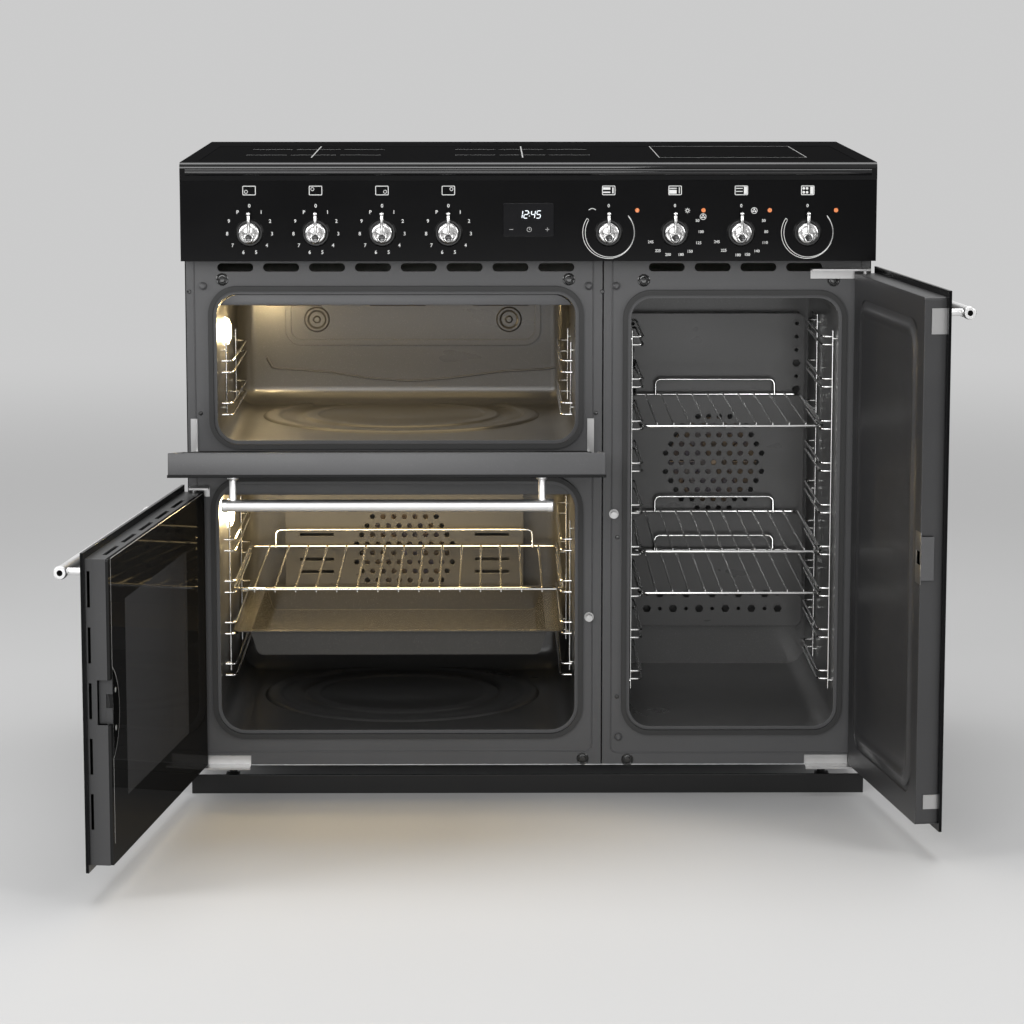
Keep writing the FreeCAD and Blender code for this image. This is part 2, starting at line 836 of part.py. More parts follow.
def wool_wrap(x0, x1, z0, z1, deep, hole_z=None):
    """The insulation round a cavity, open at the front and round the motor."""
    near, far = "(sheet_thick + wool_gap)", "(sheet_thick + wool_gap + wool_thick)"
    outer = block(f"{x0} - {far}", f"{x1} + {far}", "frame_return + 2", f"{deep} + {far}", f"{z0} - {far}",
                  f"{z1} + {far}")
    inner = block(f"{x0} - {near}", f"{x1} + {near}", 0, f"{deep} + sheet_thick", f"{z0} - {near}",
                  f"{z1} + {near}")
    if not hole_z:
        return cut(outer, inner)
    motor = rod("Y", "motor_radius + motor_gap", f"({x0} + {x1}) / 2", deep, hole_z, "wool_thick + boss_tall + 12")
    return cut(outer, inner, motor)


def seal(x0, x1, z0, z1, radius):
    """A door seal round an oven mouth."""
    far = "(seal_gap + seal_wide)"
    outer = slab(f"{x0} - {far}", f"{x1} + {far}", f"{z0} - {far}", f"{z1} + {far}", "-seal_tall", 0,
                 f"{radius} + {far}")
    inner = slab(f"{x0} - seal_gap", f"{x1} + seal_gap", f"{z0} - seal_gap", f"{z1} + seal_gap",
                 "-seal_tall - 1", 1, f"{radius} + seal_gap")
    return cut(outer, inner)


def fan_cover(label, x0, x1, z0, z1, fan_x, fan_z, extra=()):
    """A shallow cover of sheet over a fan, perforated in staggered rows in front of the fan.

    Each row is one six-sided hole repeated along the row, as far as the round field reaches.
    """
    shell = pan(x0, x1, z0, z1, "cover_face", "main_deep", "sheet_thick", 12)
    rise = 0.866
    rows = int(number("field_radius") / (number("field_pitch") * rise))
    punches = []
    for row in range(-rows, rows + 1):
        z = f"{fan_z} + {row} * {rise} * field_pitch"
        half = math.sqrt(number("field_radius") ** 2 - (row * rise * number("field_pitch")) ** 2)
        shift = 0.5 * (row % 2)
        count = int(half / number("field_pitch") - shift) * 2 + 1 + (row % 2)
        first = f"{fan_x} - {(count - 1) / 2} * field_pitch"
        for i in range(count):
            x = f"{first} + {i} * field_pitch"
            punches.append(wire("Y", "field_hole", x, "cover_face - 1", z, "sheet_thick + 2"))
    return node(label, cut(shell, *punches, *extra))


def ovens():
    """Cavities, insulation, seals, covers, elements, lamps."""
    main = ("oven_left", "oven_right", "main_floor", "main_roof")
    grill = ("oven_left", "oven_right", "grill_floor", "grill_roof")
    tall = ("tall_left", "tall_right", "tall_floor", "tall_roof")
    drawn = oven_shell(*grill, "grill_deep", "grill_round", rear="grill_rear_round")
    node("grill_cavity", cut(fuse(drawn, *grill_back()), *element_ways()))
    node("main_cavity", oven_shell(*main, "main_deep", "main_round", "main_fan_height", "main_rear_round"))
    node("tall_cavity", oven_shell(*tall, "main_deep", "grill_round", "tall_fan_height"))
    wraps = [
        wool_wrap(*grill, "grill_deep"),
        wool_wrap(*main, "main_deep", "main_fan_height"),
        wool_wrap(*tall, "main_deep", "tall_fan_height"),
    ]
    node("cavity_insulation", group(wraps))
    seals = [seal(*grill, "grill_round"), seal(*main, "main_round"), seal(*tall, "grill_round")]
    node("oven_seals", group(seals))

    slots = []
    for side in (-1, 1):
        for z in (75, 30, 10, -10, -30):
            x = f"oven_middle + {side} * 140"
            height = f"main_fan_height + {z}"
            slots.append(slab(f"{x} - 27", f"{x} + 27", f"{height} - 2.5", f"{height} + 2.5",
                              "cover_face - 1", "cover_face + sheet_thick + 1"))
    half = "main_cover_wide / 2"
    fan_cover("main_fan_cover", f"oven_middle - {half}", f"oven_middle + {half}", "main_cover_low",
              "main_cover_high", "oven_middle", "main_fan_height", slots)
    rows = []
    for row, z in enumerate((52, 28)):
        for i in range(11):
            size = 6.5 if (i + row) % 2 else 3.2
            rows.append(wire("Y", size, f"tall_middle + ({i} - 5) * 21", "cover_face - 1",
                             f"tall_floor + tall_cover_low + {z}", "sheet_thick + 2"))
    for side in (-1, 1):
        for i, size in enumerate((3.2, 3.2, 3.2, 6.5, 3.2, 6.5)):
            rows.append(wire("Y", size, f"tall_middle + {side} * 130", "cover_face - 1",
                             f"tall_roof - tall_cover_drop - 16 - {i} * 21", "sheet_thick + 2"))
    fan_cover("tall_fan_cover", "tall_left + tall_cover_margin", "tall_right - tall_cover_margin",
              "tall_floor + tall_cover_low", "tall_roof - tall_cover_drop", "tall_middle", "tall_fan_height", rows)

    rings = []
    motors = []
    motor = [
        ("shaft_radius + 1 + shaft_clear", "main_deep + sheet_thick"),
        ("boss_radius", "main_deep + sheet_thick"),
        ("boss_radius", "main_deep + sheet_thick + boss_tall"),
        ("motor_radius", "main_deep + sheet_thick + motor_start"),
        ("motor_radius", "main_deep + sheet_thick + motor_deep"),
        (0, "main_deep + sheet_thick + motor_deep"),
        (0, "main_deep + sheet_thick + motor_bore"),
        ("shaft_radius + 1 + shaft_clear", "main_deep + sheet_thick + motor_bore"),
    ]
    for x, z in (("oven_middle", "main_fan_height"), ("tall_middle", "tall_fan_height")):
        middle = "main_deep - cover_stand / 2"
        section = [
            (f"ring_radius + {math.cos(math.pi * k / 3):.4f} * ring_wire",
             f"{middle} + {math.sin(math.pi * k / 3):.4f} * ring_wire")
            for k in range(6)
        ]
        ring = turned("Y", section, x, 0, z)
        legs = [
            wire("Y", "ring_wire", f"{x} + {side} * 12", middle,
                 f"{z} + sqrt(ring_radius * ring_radius - 144)", "cover_stand / 2")
            for side in (-1, 1)
        ]
        rings.append(fuse(ring, *legs))
        motors.append(turned("Y", motor, x, 0, z))
    node("ring_elements", group(rings))
    node("fan_motors", group(motors))

    for label, x, z in (
        ("main_fan", "oven_middle", "main_fan_height"),
        ("tall_fan", "tall_middle", "tall_fan_height"),
    ):
        node(label, convection_fan(x, z))

    node("grill_element", grill_element())

    lens = [
        (0, 0),
        ("lamp_glass_radius", 0),
        ("lamp_glass_radius - 3", "lamp_glass_tall - 3"),
        ("lamp_glass_radius / 2", "lamp_glass_tall"),
        (0, "lamp_glass_tall"),
    ]
    lamps = []
    for deep, roof in (("grill_deep", "grill_roof"), ("main_deep", "main_roof")):
        y, z = f"{deep} / 2 - lamp_glass_front", f"{roof} - lamp_glass_drop"
        lamp = turned("Z", lens)
        lamp.Placement = FreeCAD.Placement(V(), TURNED["X"])
        lamps.append(at(lamp, "oven_left", y, z))
    node("oven_lamps", group(lamps))


def convection_fan(x, z):
    """A hub, a disc and a ring of straight radial blades, on the shaft that runs into the motor."""
    back = "main_deep - fan_back_gap"
    hub = [
        (0, f"{back} - fan_blade_deep - 2"),
        ("hub_small", f"{back} - fan_blade_deep - 2"),
        ("hub_big", f"{back} - fan_blade_deep + 2"),
        ("hub_big", f"{back} - fan_disc_thick"),
        ("fan_radius", f"{back} - fan_disc_thick"),
        ("fan_radius", back),
        ("shaft_radius + 1", back),
        ("shaft_radius + 1", "main_deep + sheet_thick + fan_shaft_in"),
        (0, "main_deep + sheet_thick + fan_shaft_in"),
    ]
    body = doc.addObject("PartDesign::Body", "fan")
    sketch = outline(body, "XY", hub, "hub")
    spin = body.newObject("PartDesign::Revolution", "spin")
    spin.Profile = sketch
    spin.ReferenceAxis = (sketch, ["V_Axis"])
    spin.Angle = 360
    blade = outline(body, "XY", [
        ("blade_inner", f"{back} - fan_blade_deep"),
        ("fan_radius - 1", f"{back} - fan_blade_deep"),
        ("fan_radius - 1", f"{back} - fan_disc_thick / 2"),
        ("blade_inner", f"{back} - fan_disc_thick / 2"),
    ], "blade")
    pad = body.newObject("PartDesign::Pad", "vane")
    pad.Profile = blade
    pad.Midplane = True
    bind(pad, Length="blade_thick")
    ring = body.newObject("PartDesign::PolarPattern", "blades")
    ring.Originals = [pad]
    ring.Axis = (sketch, ["V_Axis"])
    ring.Angle = 360
    ring.Occurrences = 10
    body.Tip = ring
    return at(body, x, 0, z)


ELEMENT_LANES = 6


def element_lane(lane, start, stop):
    """One straight run of the grill's tube, from front to back."""
    step = f"(oven_right - oven_left - 2 * element_side) / {ELEMENT_LANES - 1}"
    x = f"oven_left + element_side + {lane} * {step}"
    return x, step, wire("Y", "element_radius", x, start, "grill_roof - element_drop", f"{stop} - ({start})")


def element_ways():
    """The two holes in the grill oven's back that the tube's ends sit in."""
    return [element_lane(lane, "grill_deep - 10", "grill_deep + 10")[2] for lane in (0, ELEMENT_LANES - 1)]


def grill_element():
    """A tube that runs to and fro under the grill oven's roof, with both ends in its back wall."""
    near, far = "element_near", "(grill_deep - element_far)"
    parts = []
    for lane in range(ELEMENT_LANES):
        last = lane in (0, ELEMENT_LANES - 1)
        x, step, run = element_lane(lane, near, "(grill_deep + sheet_thick)" if last else far)
        parts.append(run)
        if lane < ELEMENT_LANES - 1:
            y = near if lane % 2 == 0 else far
            parts.append(wire("X", "element_radius", f"{x} - element_radius * 0.8", y, "grill_roof - element_drop",
                              f"{step} + element_radius * 1.6"))
    return fuse(*parts)


# ---------------------------------------------------------------- wire work


def levels(first, limit):
    """How many rack levels fit between the first one and a limit under the roof."""
    return int((number(limit) - number(first)) / number("level_pitch")) + 1


def rack(wall, side, first, count, gap, front, back):
    """One wire rack: a front upright on the wall, a rear one inboard of it, and runners in pairs."""
    stand = f"{wall} + {side} * rack_stand"
    reach = f"{wall} + {side} * (rack_stand + rack_reach)"
    low = f"({first} - rack_overrun)"
    tall = f"({count} - 1) * level_pitch + {gap} + 2 * rack_overrun"
    parts = [
        wire("Z", "wire_radius", stand, front, low, tall),
        wire("Z", "wire_radius", reach, back, low, tall),
    ]
    start, foot, far_foot = (stand, wall, wall) if side > 0 else (reach, stand, reach)
    for level in range(count):
        for lift in ("0", gap):
            z = f"{first} + {level} * level_pitch + {lift}"
            parts.append(wire("Y", "wire_radius", reach, f"{front} - wire_radius * 0.8", z,
                              f"{back} - {front} + wire_radius * 0.8"))
            parts.append(wire("X", "wire_radius", start, front, z, "rack_reach"))
    for z in (f"{low} + rack_foot", f"{low} + {tall} - rack_foot"):
        parts.append(wire("X", "wire_radius", foot, front, z, "rack_stand"))
        parts.append(wire("X", "wire_radius", far_foot, back, z, "rack_stand + rack_reach"))
    return fuse(*parts)


def shelf(label, left, right, front, back, z, pitch):
    """A wire shelf: a frame of thick wire, thin cross wires from front to back, and a rear guard."""
    thick, thin = "frame_wire_radius", "wire_radius"
    parts = [
        wire("X", thick, left, front, z, f"({right}) - ({left})", 8),
        wire("X", thick, left, back, z, f"({right}) - ({left})", 8),
        wire("Y", thick, f"{left} + {thick}", front, z, f"({back}) - ({front})", 8),
        wire("Y", thick, f"{right} - {thick}", front, z, f"({back}) - ({front})", 8),
    ]
    inset = "guard_inset"
    for x in (f"{left} + {inset}", f"{right} - {inset}"):
        parts.append(wire("Z", thin, x, back, z, "shelf_guard"))
    parts.append(wire("X", thin, f"{left} + {inset} - wire_radius", back, f"{z} + shelf_guard",
                      f"({right}) - ({left}) - 2 * {inset} + 2 * wire_radius"))
    span = number(right) - number(left)
    count = round(span / pitch) - 1
    for i in range(1, count + 1):
        x = f"{left} + {i} * (({right}) - ({left})) / {count + 1}"
        parts.append(wire("Y", thin, x, front, f"{z} + cross_lift", f"({back}) - ({front})"))
    return node(label, fuse(*parts))


def wire_work():
    """Side racks, shelves and the baking tray."""
    gap = "rack_stand + rack_reach"
    main_count = levels("main_level_first", "main_roof - main_rack_head")
    tall_count = levels("tall_level_first", "tall_roof - tall_rack_head")
    back, front = "rack_back", "rack_front"

    def pair(wall_left, wall_right, first, count, pair_gap, rear):
        ends = ((wall_left, 1), (wall_right, -1))
        return group([rack(wall, side, first, count, pair_gap, front, rear) for wall, side in ends])

    walls = ("oven_left", "oven_right")
    node("main_side_racks", pair(*walls, "main_level_first", main_count, "main_pair_gap", back))
    node("tall_side_racks", pair("tall_left", "tall_right", "tall_level_first", tall_count, "tall_pair_gap", back))
    node("grill_side_racks", pair(*walls, "grill_level_first", 2, "main_pair_gap", "grill_rack_back"))

    ride = "wire_radius + ride_gap + frame_wire_radius"
    rear = "cover_face - shelf_back_gap"
    gap = "shelf_side_gap"
    z = f"main_level_first + {main_count - 2} * level_pitch + {ride}"
    shelf("main_shelf", f"oven_left + {gap}", f"oven_right - {gap}", front, rear, z, 31)
    for label, level in (("tall_shelf_upper", 6), ("tall_shelf_middle", 3), ("tall_shelf_lower", 2)):
        level = min(level, tall_count - 1)
        z = f"tall_level_first + {level} * level_pitch + {ride}"
        shelf(label, f"tall_left + {gap}", f"tall_right - {gap}", front, rear, z, 23.6)
    node("baking_tray", tray(rear))


def tray(rear):
    """A pressed baking tray whose rim rides on the second pair of runners."""
    left, right = "oven_left + shelf_side_gap", "oven_right - shelf_side_gap"
    top = "main_level_first + level_pitch + wire_radius + ride_gap + tray_wall"
    inset = "(rack_reach + tray_lip)"
    rim = prism("XY", box_outline(left, right, "rack_front", rear), f"{top} - tray_wall", "tray_wall", 14)
    low = f"{top} - tray_deep"
    bowl = [
        (f"{left} + {inset} + tray_foot", low),
        (f"{right} - {inset} - tray_foot", low),
        (f"{right} - {inset} + tray_slope", top),
        (f"{left} + {inset} - tray_slope", top),
    ]
    near, deep = "rack_front + tray_lip", f"({rear}) - rack_front - 2 * tray_lip"
    outer = prism("XZ", bowl, near, deep, 10, [0, 1])
    wall = "tray_wall"
    hollow = [
        (f"{left} + {inset} + tray_foot + {wall}", f"{low} + {wall}"),
        (f"{right} - {inset} - tray_foot - {wall}", f"{low} + {wall}"),
        (f"{right} - {inset} + tray_slope - {wall}", f"{top} + 1"),
        (f"{left} + {inset} - tray_slope + {wall}", f"{top} + 1"),
    ]
    inner = prism("XZ", hollow, f"{near} + {wall}", f"{deep} - 2 * {wall}", 9, [0, 1])
    return cut(fuse(rim, outer), inner)


# ---------------------------------------------------------------- doors


def handle(x0, x1, z):
    """A round bar with an end cap at each end, on two posts."""
    y = "-(door_front + bar_standoff)"
    long = f"(({x1}) - ({x0}))"
    profile = [
        (0, 0),
        ("bar_cap_radius - bar_chamfer", 0),
        ("bar_cap_radius", "bar_chamfer"),
        ("bar_cap_radius", "bar_cap_long"),
        ("bar_radius", "bar_cap_long"),
        ("bar_radius", f"{long} - bar_cap_long"),
        ("bar_cap_radius", f"{long} - bar_cap_long"),
        ("bar_cap_radius", f"{long} - bar_chamfer"),
        ("bar_cap_radius - bar_chamfer", long),
        (0, long),
    ]
    bar = turned("Z", profile)
    bar.Placement = FreeCAD.Placement(V(), TURNED["X"])
    at(bar, x0, y, z)
    post = [
        (0, "-door_front"),
        ("post_foot_radius", "-door_front"),
        ("post_foot_radius", "-door_front - post_foot_tall"),
        ("post_radius", "-door_front - post_neck"),
        ("post_radius", y),
        (0, y),
    ]
    posts = [turned("Y", post, x, 0, z) for x in (f"{x0} + post_inset", f"{x1} - post_inset")]
    return fuse(bar, *posts)


def door_ring(x0, x1, z0, z1, y0, y1, *cuts):
    """The folded ring of a door's sides, open at front and back."""
    inner = slab(f"{x0} + body_wall", f"{x1} - body_wall", f"{z0} + body_wall", f"{z1} - body_wall",
                 f"{y0} - 1", f"{y1} + 1")
    return cut(slab(x0, x1, z0, z1, y0, y1), inner, *cuts)


def pin_bores(pivot, body):
    """The bores at a side-hung door's two ends, as deep as its hinge pins reach."""
    size = "pin_radius + pin_clear"
    starts = f"{body[2]} - 1", f"{body[3]} - pin_rise"
    return [rod("Z", size, pivot, "-pivot_deep", start, "pin_rise + 1") for start in starts]


def main_door():
    """The lower left door, hung on the left."""
    x0, x1 = "-half_width", "left_door_right"
    z0, z1 = "door_foot", "main_door_top"
    body = ["body_inset - half_width", "left_door_right - body_inset", "body_foot", "main_door_top - body_inset"]
    window = [f"{x0} + window_side", f"{x1} - window_side", f"{z0} + window_foot", f"{z1} - window_head"]
    skin = slab(x0, x1, z0, z1, "-door_front", "skin_back")
    skin = cut(skin, slab(*window, "-door_front - 1", "skin_back + 1", "window_round"))
    notch = block(f"{body[1]} - main_catch_side", f"{body[1]} + 1", "-(door_back + catch_deep)", "0",
                  "main_catch - catch_half", "main_catch + catch_half")
    bores = pin_bores("left_pivot", body)
    slots = []
    for i in range(5):
        x = f"{body[1]} - 70 - {i} * 100"
        slots.append(block(f"{x} - 36", f"{x} + 36", "-(door_back + 16)", "-(door_back + 10)",
                           f"{body[3]} - body_wall - 1", f"{body[3]} + 1"))
        z = f"{body[3]} - 40 - {i} * 74"
        slots.append(block(f"{body[1]} - body_wall - 1", f"{body[1]} + 1", "-(door_front - skin_thick - 2)",
                           "-(door_front - skin_thick - 6)", f"{z} - 24", f"{z} + 24"))
    ring = door_ring(*body, "skin_back", "body_back", notch, *bores, *slots)
    pane = slab(*body, "body_back", "-door_back", 3)
    pane = cut(pane, notch)
    wider = [f"{w} {sign} pane_overlap" for w, sign in zip(window, "-+-+")]
    outer_pane = slab(*wider, "skin_back", "skin_back + pane_thick")
    pieces = {
        "main_door_skin": skin,
        "main_door_frame": ring,
        "main_door_glass": group([pane, outer_pane]),
        "main_door_handle": handle(f"{x0} + side_bar_margin", f"{x1} - side_bar_margin", f"{z1} - bar_drop"),
    }
    for label, piece in pieces.items():
        node(label, swing(group([piece]), "-Z", "main_open", "left_pivot", "(-pivot_deep)"))


def tall_door():
    """The right door, hung on the right, with a pressed liner inside."""
    x0, x1 = "right_door_left", "half_width"
    z0, z1 = "door_foot", "door_top"
    body = ["right_door_left + body_inset", "half_width - body_inset", "body_foot", "door_top - body_inset"]
    skin = slab(x0, x1, z0, z1, "-door_front", "skin_back")
    notch = block(f"{body[0]} - 1", f"{body[0]} + tall_catch_side", "-(door_back + catch_deep)", "0",
                  "tall_catch - catch_half", "tall_catch + catch_half")
    bores = pin_bores("right_pivot", body)
    shell = slab(*body, "skin_back", "-door_back", 4)
    wall = "body_wall"
    hollow = slab(f"{body[0]} + {wall}", f"{body[1]} - {wall}", f"{body[2]} + {wall}", f"{body[3]} - {wall}",
                  "skin_back - 1", f"-door_back - {wall}")
    inset = [f"{b} {sign} press_inset" for b, sign in zip(body, "+-+-")]
    press = slab(*inset, "-door_back - press_deep", "0", "press_round")
    liner = cut(shell, hollow, press, notch, *bores)
    edge = body[0]
    clips = [
        block(f"{edge} - clip_out", edge, "skin_back", "skin_back + clip_deep", low, high)
        for low, high in ((f"{z1} - 59", f"{z1} - 24"), (f"{z0} + 31", f"{z0} + 51"))
    ]
    pieces = {
        "tall_door_skin": skin,
        "tall_door_liner": liner,
        "tall_door_clips": group(clips),
        "tall_door_handle": handle(f"{x0} + side_bar_margin", f"{x1} - side_bar_margin", f"{z1} - bar_drop"),
    }
    for label, piece in pieces.items():
        node(label, swing(group([piece]), "Z", "tall_open", "right_pivot", "(-pivot_deep)"))


def drop_door():
    """The grill oven's door, hung along its lower edge."""
    x0, x1 = "-half_width", "left_door_right"
    z0, z1 = "drop_door_foot", "door_top"
    inset = "drop_body_inset"
    body = [f"{x0} + {inset}", f"{x1} - {inset}", f"{z0} + body_inset", f"{z1} - body_inset"]
    window = [f"{x0} + window_side", f"{x1} - window_side", f"{z0} + drop_window_foot",
              f"{z1} - window_head"]
    skin = slab(x0, x1, z0, z1, "-door_front", "skin_back")
    skin = cut(skin, slab(*window, "-door_front - 1", "skin_back + 1", "window_round"))
    bores = [
        rod("X", "pin_radius + pin_clear", x, "-pivot_deep", "drop_pivot", "body_wall + 2")
        for x in (f"{body[0]} - 1", f"{body[1]} - body_wall - 1")
    ]
    ring = door_ring(*body, "skin_back", "body_back", *bores)
    pane = slab(*body, "body_back", "-door_back", 3)
    wider = [f"{w} {sign} pane_overlap" for w, sign in zip(window, "-+-+")]
    outer_pane = slab(*wider, "skin_back", "skin_back + pane_thick")
    pieces = {
        "grill_door_skin": skin,
        "grill_door_frame": ring,
        "grill_door_glass": group([pane, outer_pane]),
        "grill_door_handle": handle(f"{x0} + drop_bar_margin", f"{x1} - drop_bar_margin", f"{z1} - bar_drop"),
    }
    for label, piece in pieces.items():
        node(label, swing(group([piece]), "X", "drop_open", "(-pivot_deep)", "drop_pivot"))


def side_hinge(pivot, inward, reach, arm_z, grow):
    """A plate on the front frame, with an arm that carries an upright pin at the door's corner.

    The plate and the pin rise from the arm where grow is true, or else hang from it.
    """
    far = f"{pivot} + {inward} * {reach}"
    near = f"{pivot} + {inward} * plate_near"
    plate_z = arm_z if grow else f"{arm_z} + plate_thick - hinge_tall"
    x = (near, far) if inward > 0 else (far, near)
    plate = block(*x, "-plate_thick", 0, plate_z, f"{plate_z} + hinge_tall")
    tip = f"{pivot} - {inward} * arm_tip"
    x = (tip, far) if inward > 0 else (far, tip)
    arm = block(*x, "-(pivot_deep + arm_front)", 0, arm_z, f"{arm_z} + plate_thick")
    pin_z = arm_z if grow else f"{arm_z} - pin_rise"
    pin = rod("Z", "pin_radius", pivot, "-pivot_deep", pin_z, "pin_rise + plate_thick")
    return fuse(plate, arm, pin)


def hinges():
    """Hinge plates with their pins, catches and bumpers on the front frames."""
    foot_arm = "body_foot - arm_gap - plate_thick"
    main_head = "main_door_top - body_inset + arm_gap"
    tall_head = "door_top - body_inset + arm_gap"
    parts = [
        side_hinge("left_pivot", 1, "hinge_reach", foot_arm, True),
        side_hinge("left_pivot", 1, "hinge_short", main_head, False),
        side_hinge("right_pivot", -1, "hinge_reach", foot_arm, True),
        side_hinge("right_pivot", -1, "hinge_reach", tall_head, False),
    ]
    inset = "drop_body_inset"
    for side, edge in ((1, f"{inset} - half_width"), (-1, f"left_door_right - {inset}")):
        near = f"{edge} - {side} * drop_arm_gap"
        far = f"{near} - {side} * plate_thick"
        x = (far, near) if side > 0 else (near, far)
        arm = block(*x, "-(pivot_deep + arm_tip)", 0, "drop_pivot - drop_arm_low", "drop_pivot + drop_arm_high")
        wide = f"{far} - {side} * drop_plate_wide"
        x = (wide, near) if side > 0 else (near, wide)
        plate = block(*x, "-drop_plate_thick", 0, "drop_pivot - drop_arm_low", "drop_pivot + drop_plate_tall")
        start = far if side > 0 else f"{edge} - 10"
        pin = rod("X", "pin_radius", start, "-pivot_deep", "drop_pivot",
                  "plate_thick + drop_arm_gap + 10")
        parts.append(fuse(arm, plate, pin))
    node("hinge_brackets", group(parts))

    pin = [(0, 0), (7, 0), (7, -2.5), (3, -2.5), (3, -11), (5, -11), (5, -15), (0, -15)]
    catches = [
        turned("Y", pin, "left_door_right - body_inset - 5", 0, "main_catch"),
        turned("Y", pin, "right_door_left + body_inset + 9", 0, "tall_catch"),
    ]
    node("door_catches", group(catches))

    dome = [(0, 0), (6, 0), (5.4, -3.6), (2.6, -5.8), (0, -5.8)]
    places = [
        ("oven_left - bumper_side", "grill_roof + bumper_rise"),
        ("oven_right + bumper_side", "grill_roof + bumper_rise"),
        ("tall_left - 22", "tall_roof + 18"),
        ("tall_left - 16", "tall_floor - 16"),
    ]
    node("frame_bumpers", group([turned("Y", dome, x, 0, z) for x, z in places]))


def terminal_box():
    """The lid over the mains terminals, low on the back."""
    outline = ["box_left", "box_right", "box_low", "box_high"]
    box = slab(*outline, "carcass_depth", "carcass_depth + hob_back", 4)
    inside = [f"{o} {sign} box_wall" for o, sign in zip(outline, "+-+-")]
    inner = slab(*inside, "carcass_depth - 1", "carcass_depth + hob_back - 2", 2)
    node("terminal_box", cut(box, inner))


carcass()
front_frames()
hob()
controls()
ovens()
wire_work()
main_door()
tall_door()
drop_door()
hinges()
terminal_box()
doc.recompute()

faults = [o.Name for o in doc.Objects if {"Invalid", "Error"} & set(o.State)]
for label, thing in nodes.items():
    if thing.Shape.isNull() or not thing.Shape.isValid() or not thing.Shape.Solids:
        faults.append(label)
if faults:
    raise SystemExit(f"these failed: {faults}")

os.makedirs("parts", exist_ok=True)
for label, thing in nodes.items():
    thing.Shape.exportStep(f"parts/{label}.step")
print(len(nodes), "sub-parts written")
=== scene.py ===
"""Finishes, printed marks, wires, pressings and a studio for a range cooker with three ovens.

Everything is in metres, in the cooker's own frame: +X right, +Y back, +Z up.
"""

import json
import math

import bmesh
import bpy
from mathutils import Matrix, Vector


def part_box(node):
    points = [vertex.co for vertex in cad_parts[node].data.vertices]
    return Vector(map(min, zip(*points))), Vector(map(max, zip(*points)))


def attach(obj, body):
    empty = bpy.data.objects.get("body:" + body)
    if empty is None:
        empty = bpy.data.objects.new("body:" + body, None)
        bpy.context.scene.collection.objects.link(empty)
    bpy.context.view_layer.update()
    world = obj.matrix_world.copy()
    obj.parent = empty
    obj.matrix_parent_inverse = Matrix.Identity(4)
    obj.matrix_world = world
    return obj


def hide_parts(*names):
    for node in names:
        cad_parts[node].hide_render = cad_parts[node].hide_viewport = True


bl_info = {
    "name": "Range Cooker Details",
    "version": (1, 0, 0),
    "blender": (4, 5, 0),
    "location": "View3D > Sidebar > Cooker",
    "description": "Finishes, printed marks, wires, pressings and a studio for a range cooker",
    "category": "Object",
}

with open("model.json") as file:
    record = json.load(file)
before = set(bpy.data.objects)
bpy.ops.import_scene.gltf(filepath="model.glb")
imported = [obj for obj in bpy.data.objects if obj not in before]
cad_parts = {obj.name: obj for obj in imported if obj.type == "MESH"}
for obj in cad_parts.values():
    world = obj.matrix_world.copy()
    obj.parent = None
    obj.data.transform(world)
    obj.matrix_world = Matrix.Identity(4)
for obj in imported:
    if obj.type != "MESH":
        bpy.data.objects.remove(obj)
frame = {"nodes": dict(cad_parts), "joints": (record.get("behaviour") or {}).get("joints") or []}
NODES = frame["nodes"]
JOINTS = {joint["name"]: joint for joint in frame["joints"]}
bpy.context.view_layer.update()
KNOBS = [Vector(JOINTS[f"knob_{i}_turn"]["pos_m"]) for i in range(1, 9)]
FASCIA_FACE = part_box("control_fascia")[0].y
FRAME_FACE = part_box("front_frame_left")[0].y
GLASS_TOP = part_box("hob_glass")[1].z

PRINT_THICK = 0.00008  # cover of fired ink
INK_SPREAD = 0.014  # how much bolder the ink makes a letter, as a share of its height
FORWARD = (0, -1, 0)  # the way the fascia and the frames face
FACING_FRONT = (math.pi / 2, 0, 0)  # turns a level primitive to face forward
FACING_BACK = (math.pi / 2, 0, math.pi)
SHEET = 0.0015  # wall of an oven's lining
PANE_FACE = -0.00695  # inner face of the main door's pane while it is closed
LINER_FACE = -0.0070  # inner face of the tall door's liner while it is closed
COVER_FRONT = -0.0250  # the doors' catch covers begin here on a closed door
BAR_LINE = -0.081  # middle of the bar handles on closed doors
MERGE = 0.000005  # corners nearer than this are one
EDGE_SAMPLES = 4  # rays of a softened edge
WIRE_SIDES = 8
BEND_STEPS = 4
STRAIGHT = 1e-4  # a turn smaller than this, in radians, needs no bend


# ---------------------------------------------------------------- settings


def colour(name, text, default):
    """A colour setting."""
    return bpy.props.FloatVectorProperty(
        name=name, description=text, subtype="COLOR", size=3, min=0, max=1, default=default
    )


def length(name, text, default):
    """A length setting."""
    return bpy.props.FloatProperty(name=name, description=text, unit="LENGTH", min=0, default=default)


def power(name, text, default):
    """A power setting of a lamp."""
    return bpy.props.FloatProperty(name=name, description=text, unit="POWER", min=0, default=default)


def angle(name, text, default):
    """An angle setting."""
    return bpy.props.FloatProperty(name=name, description=text, subtype="ANGLE", default=default)


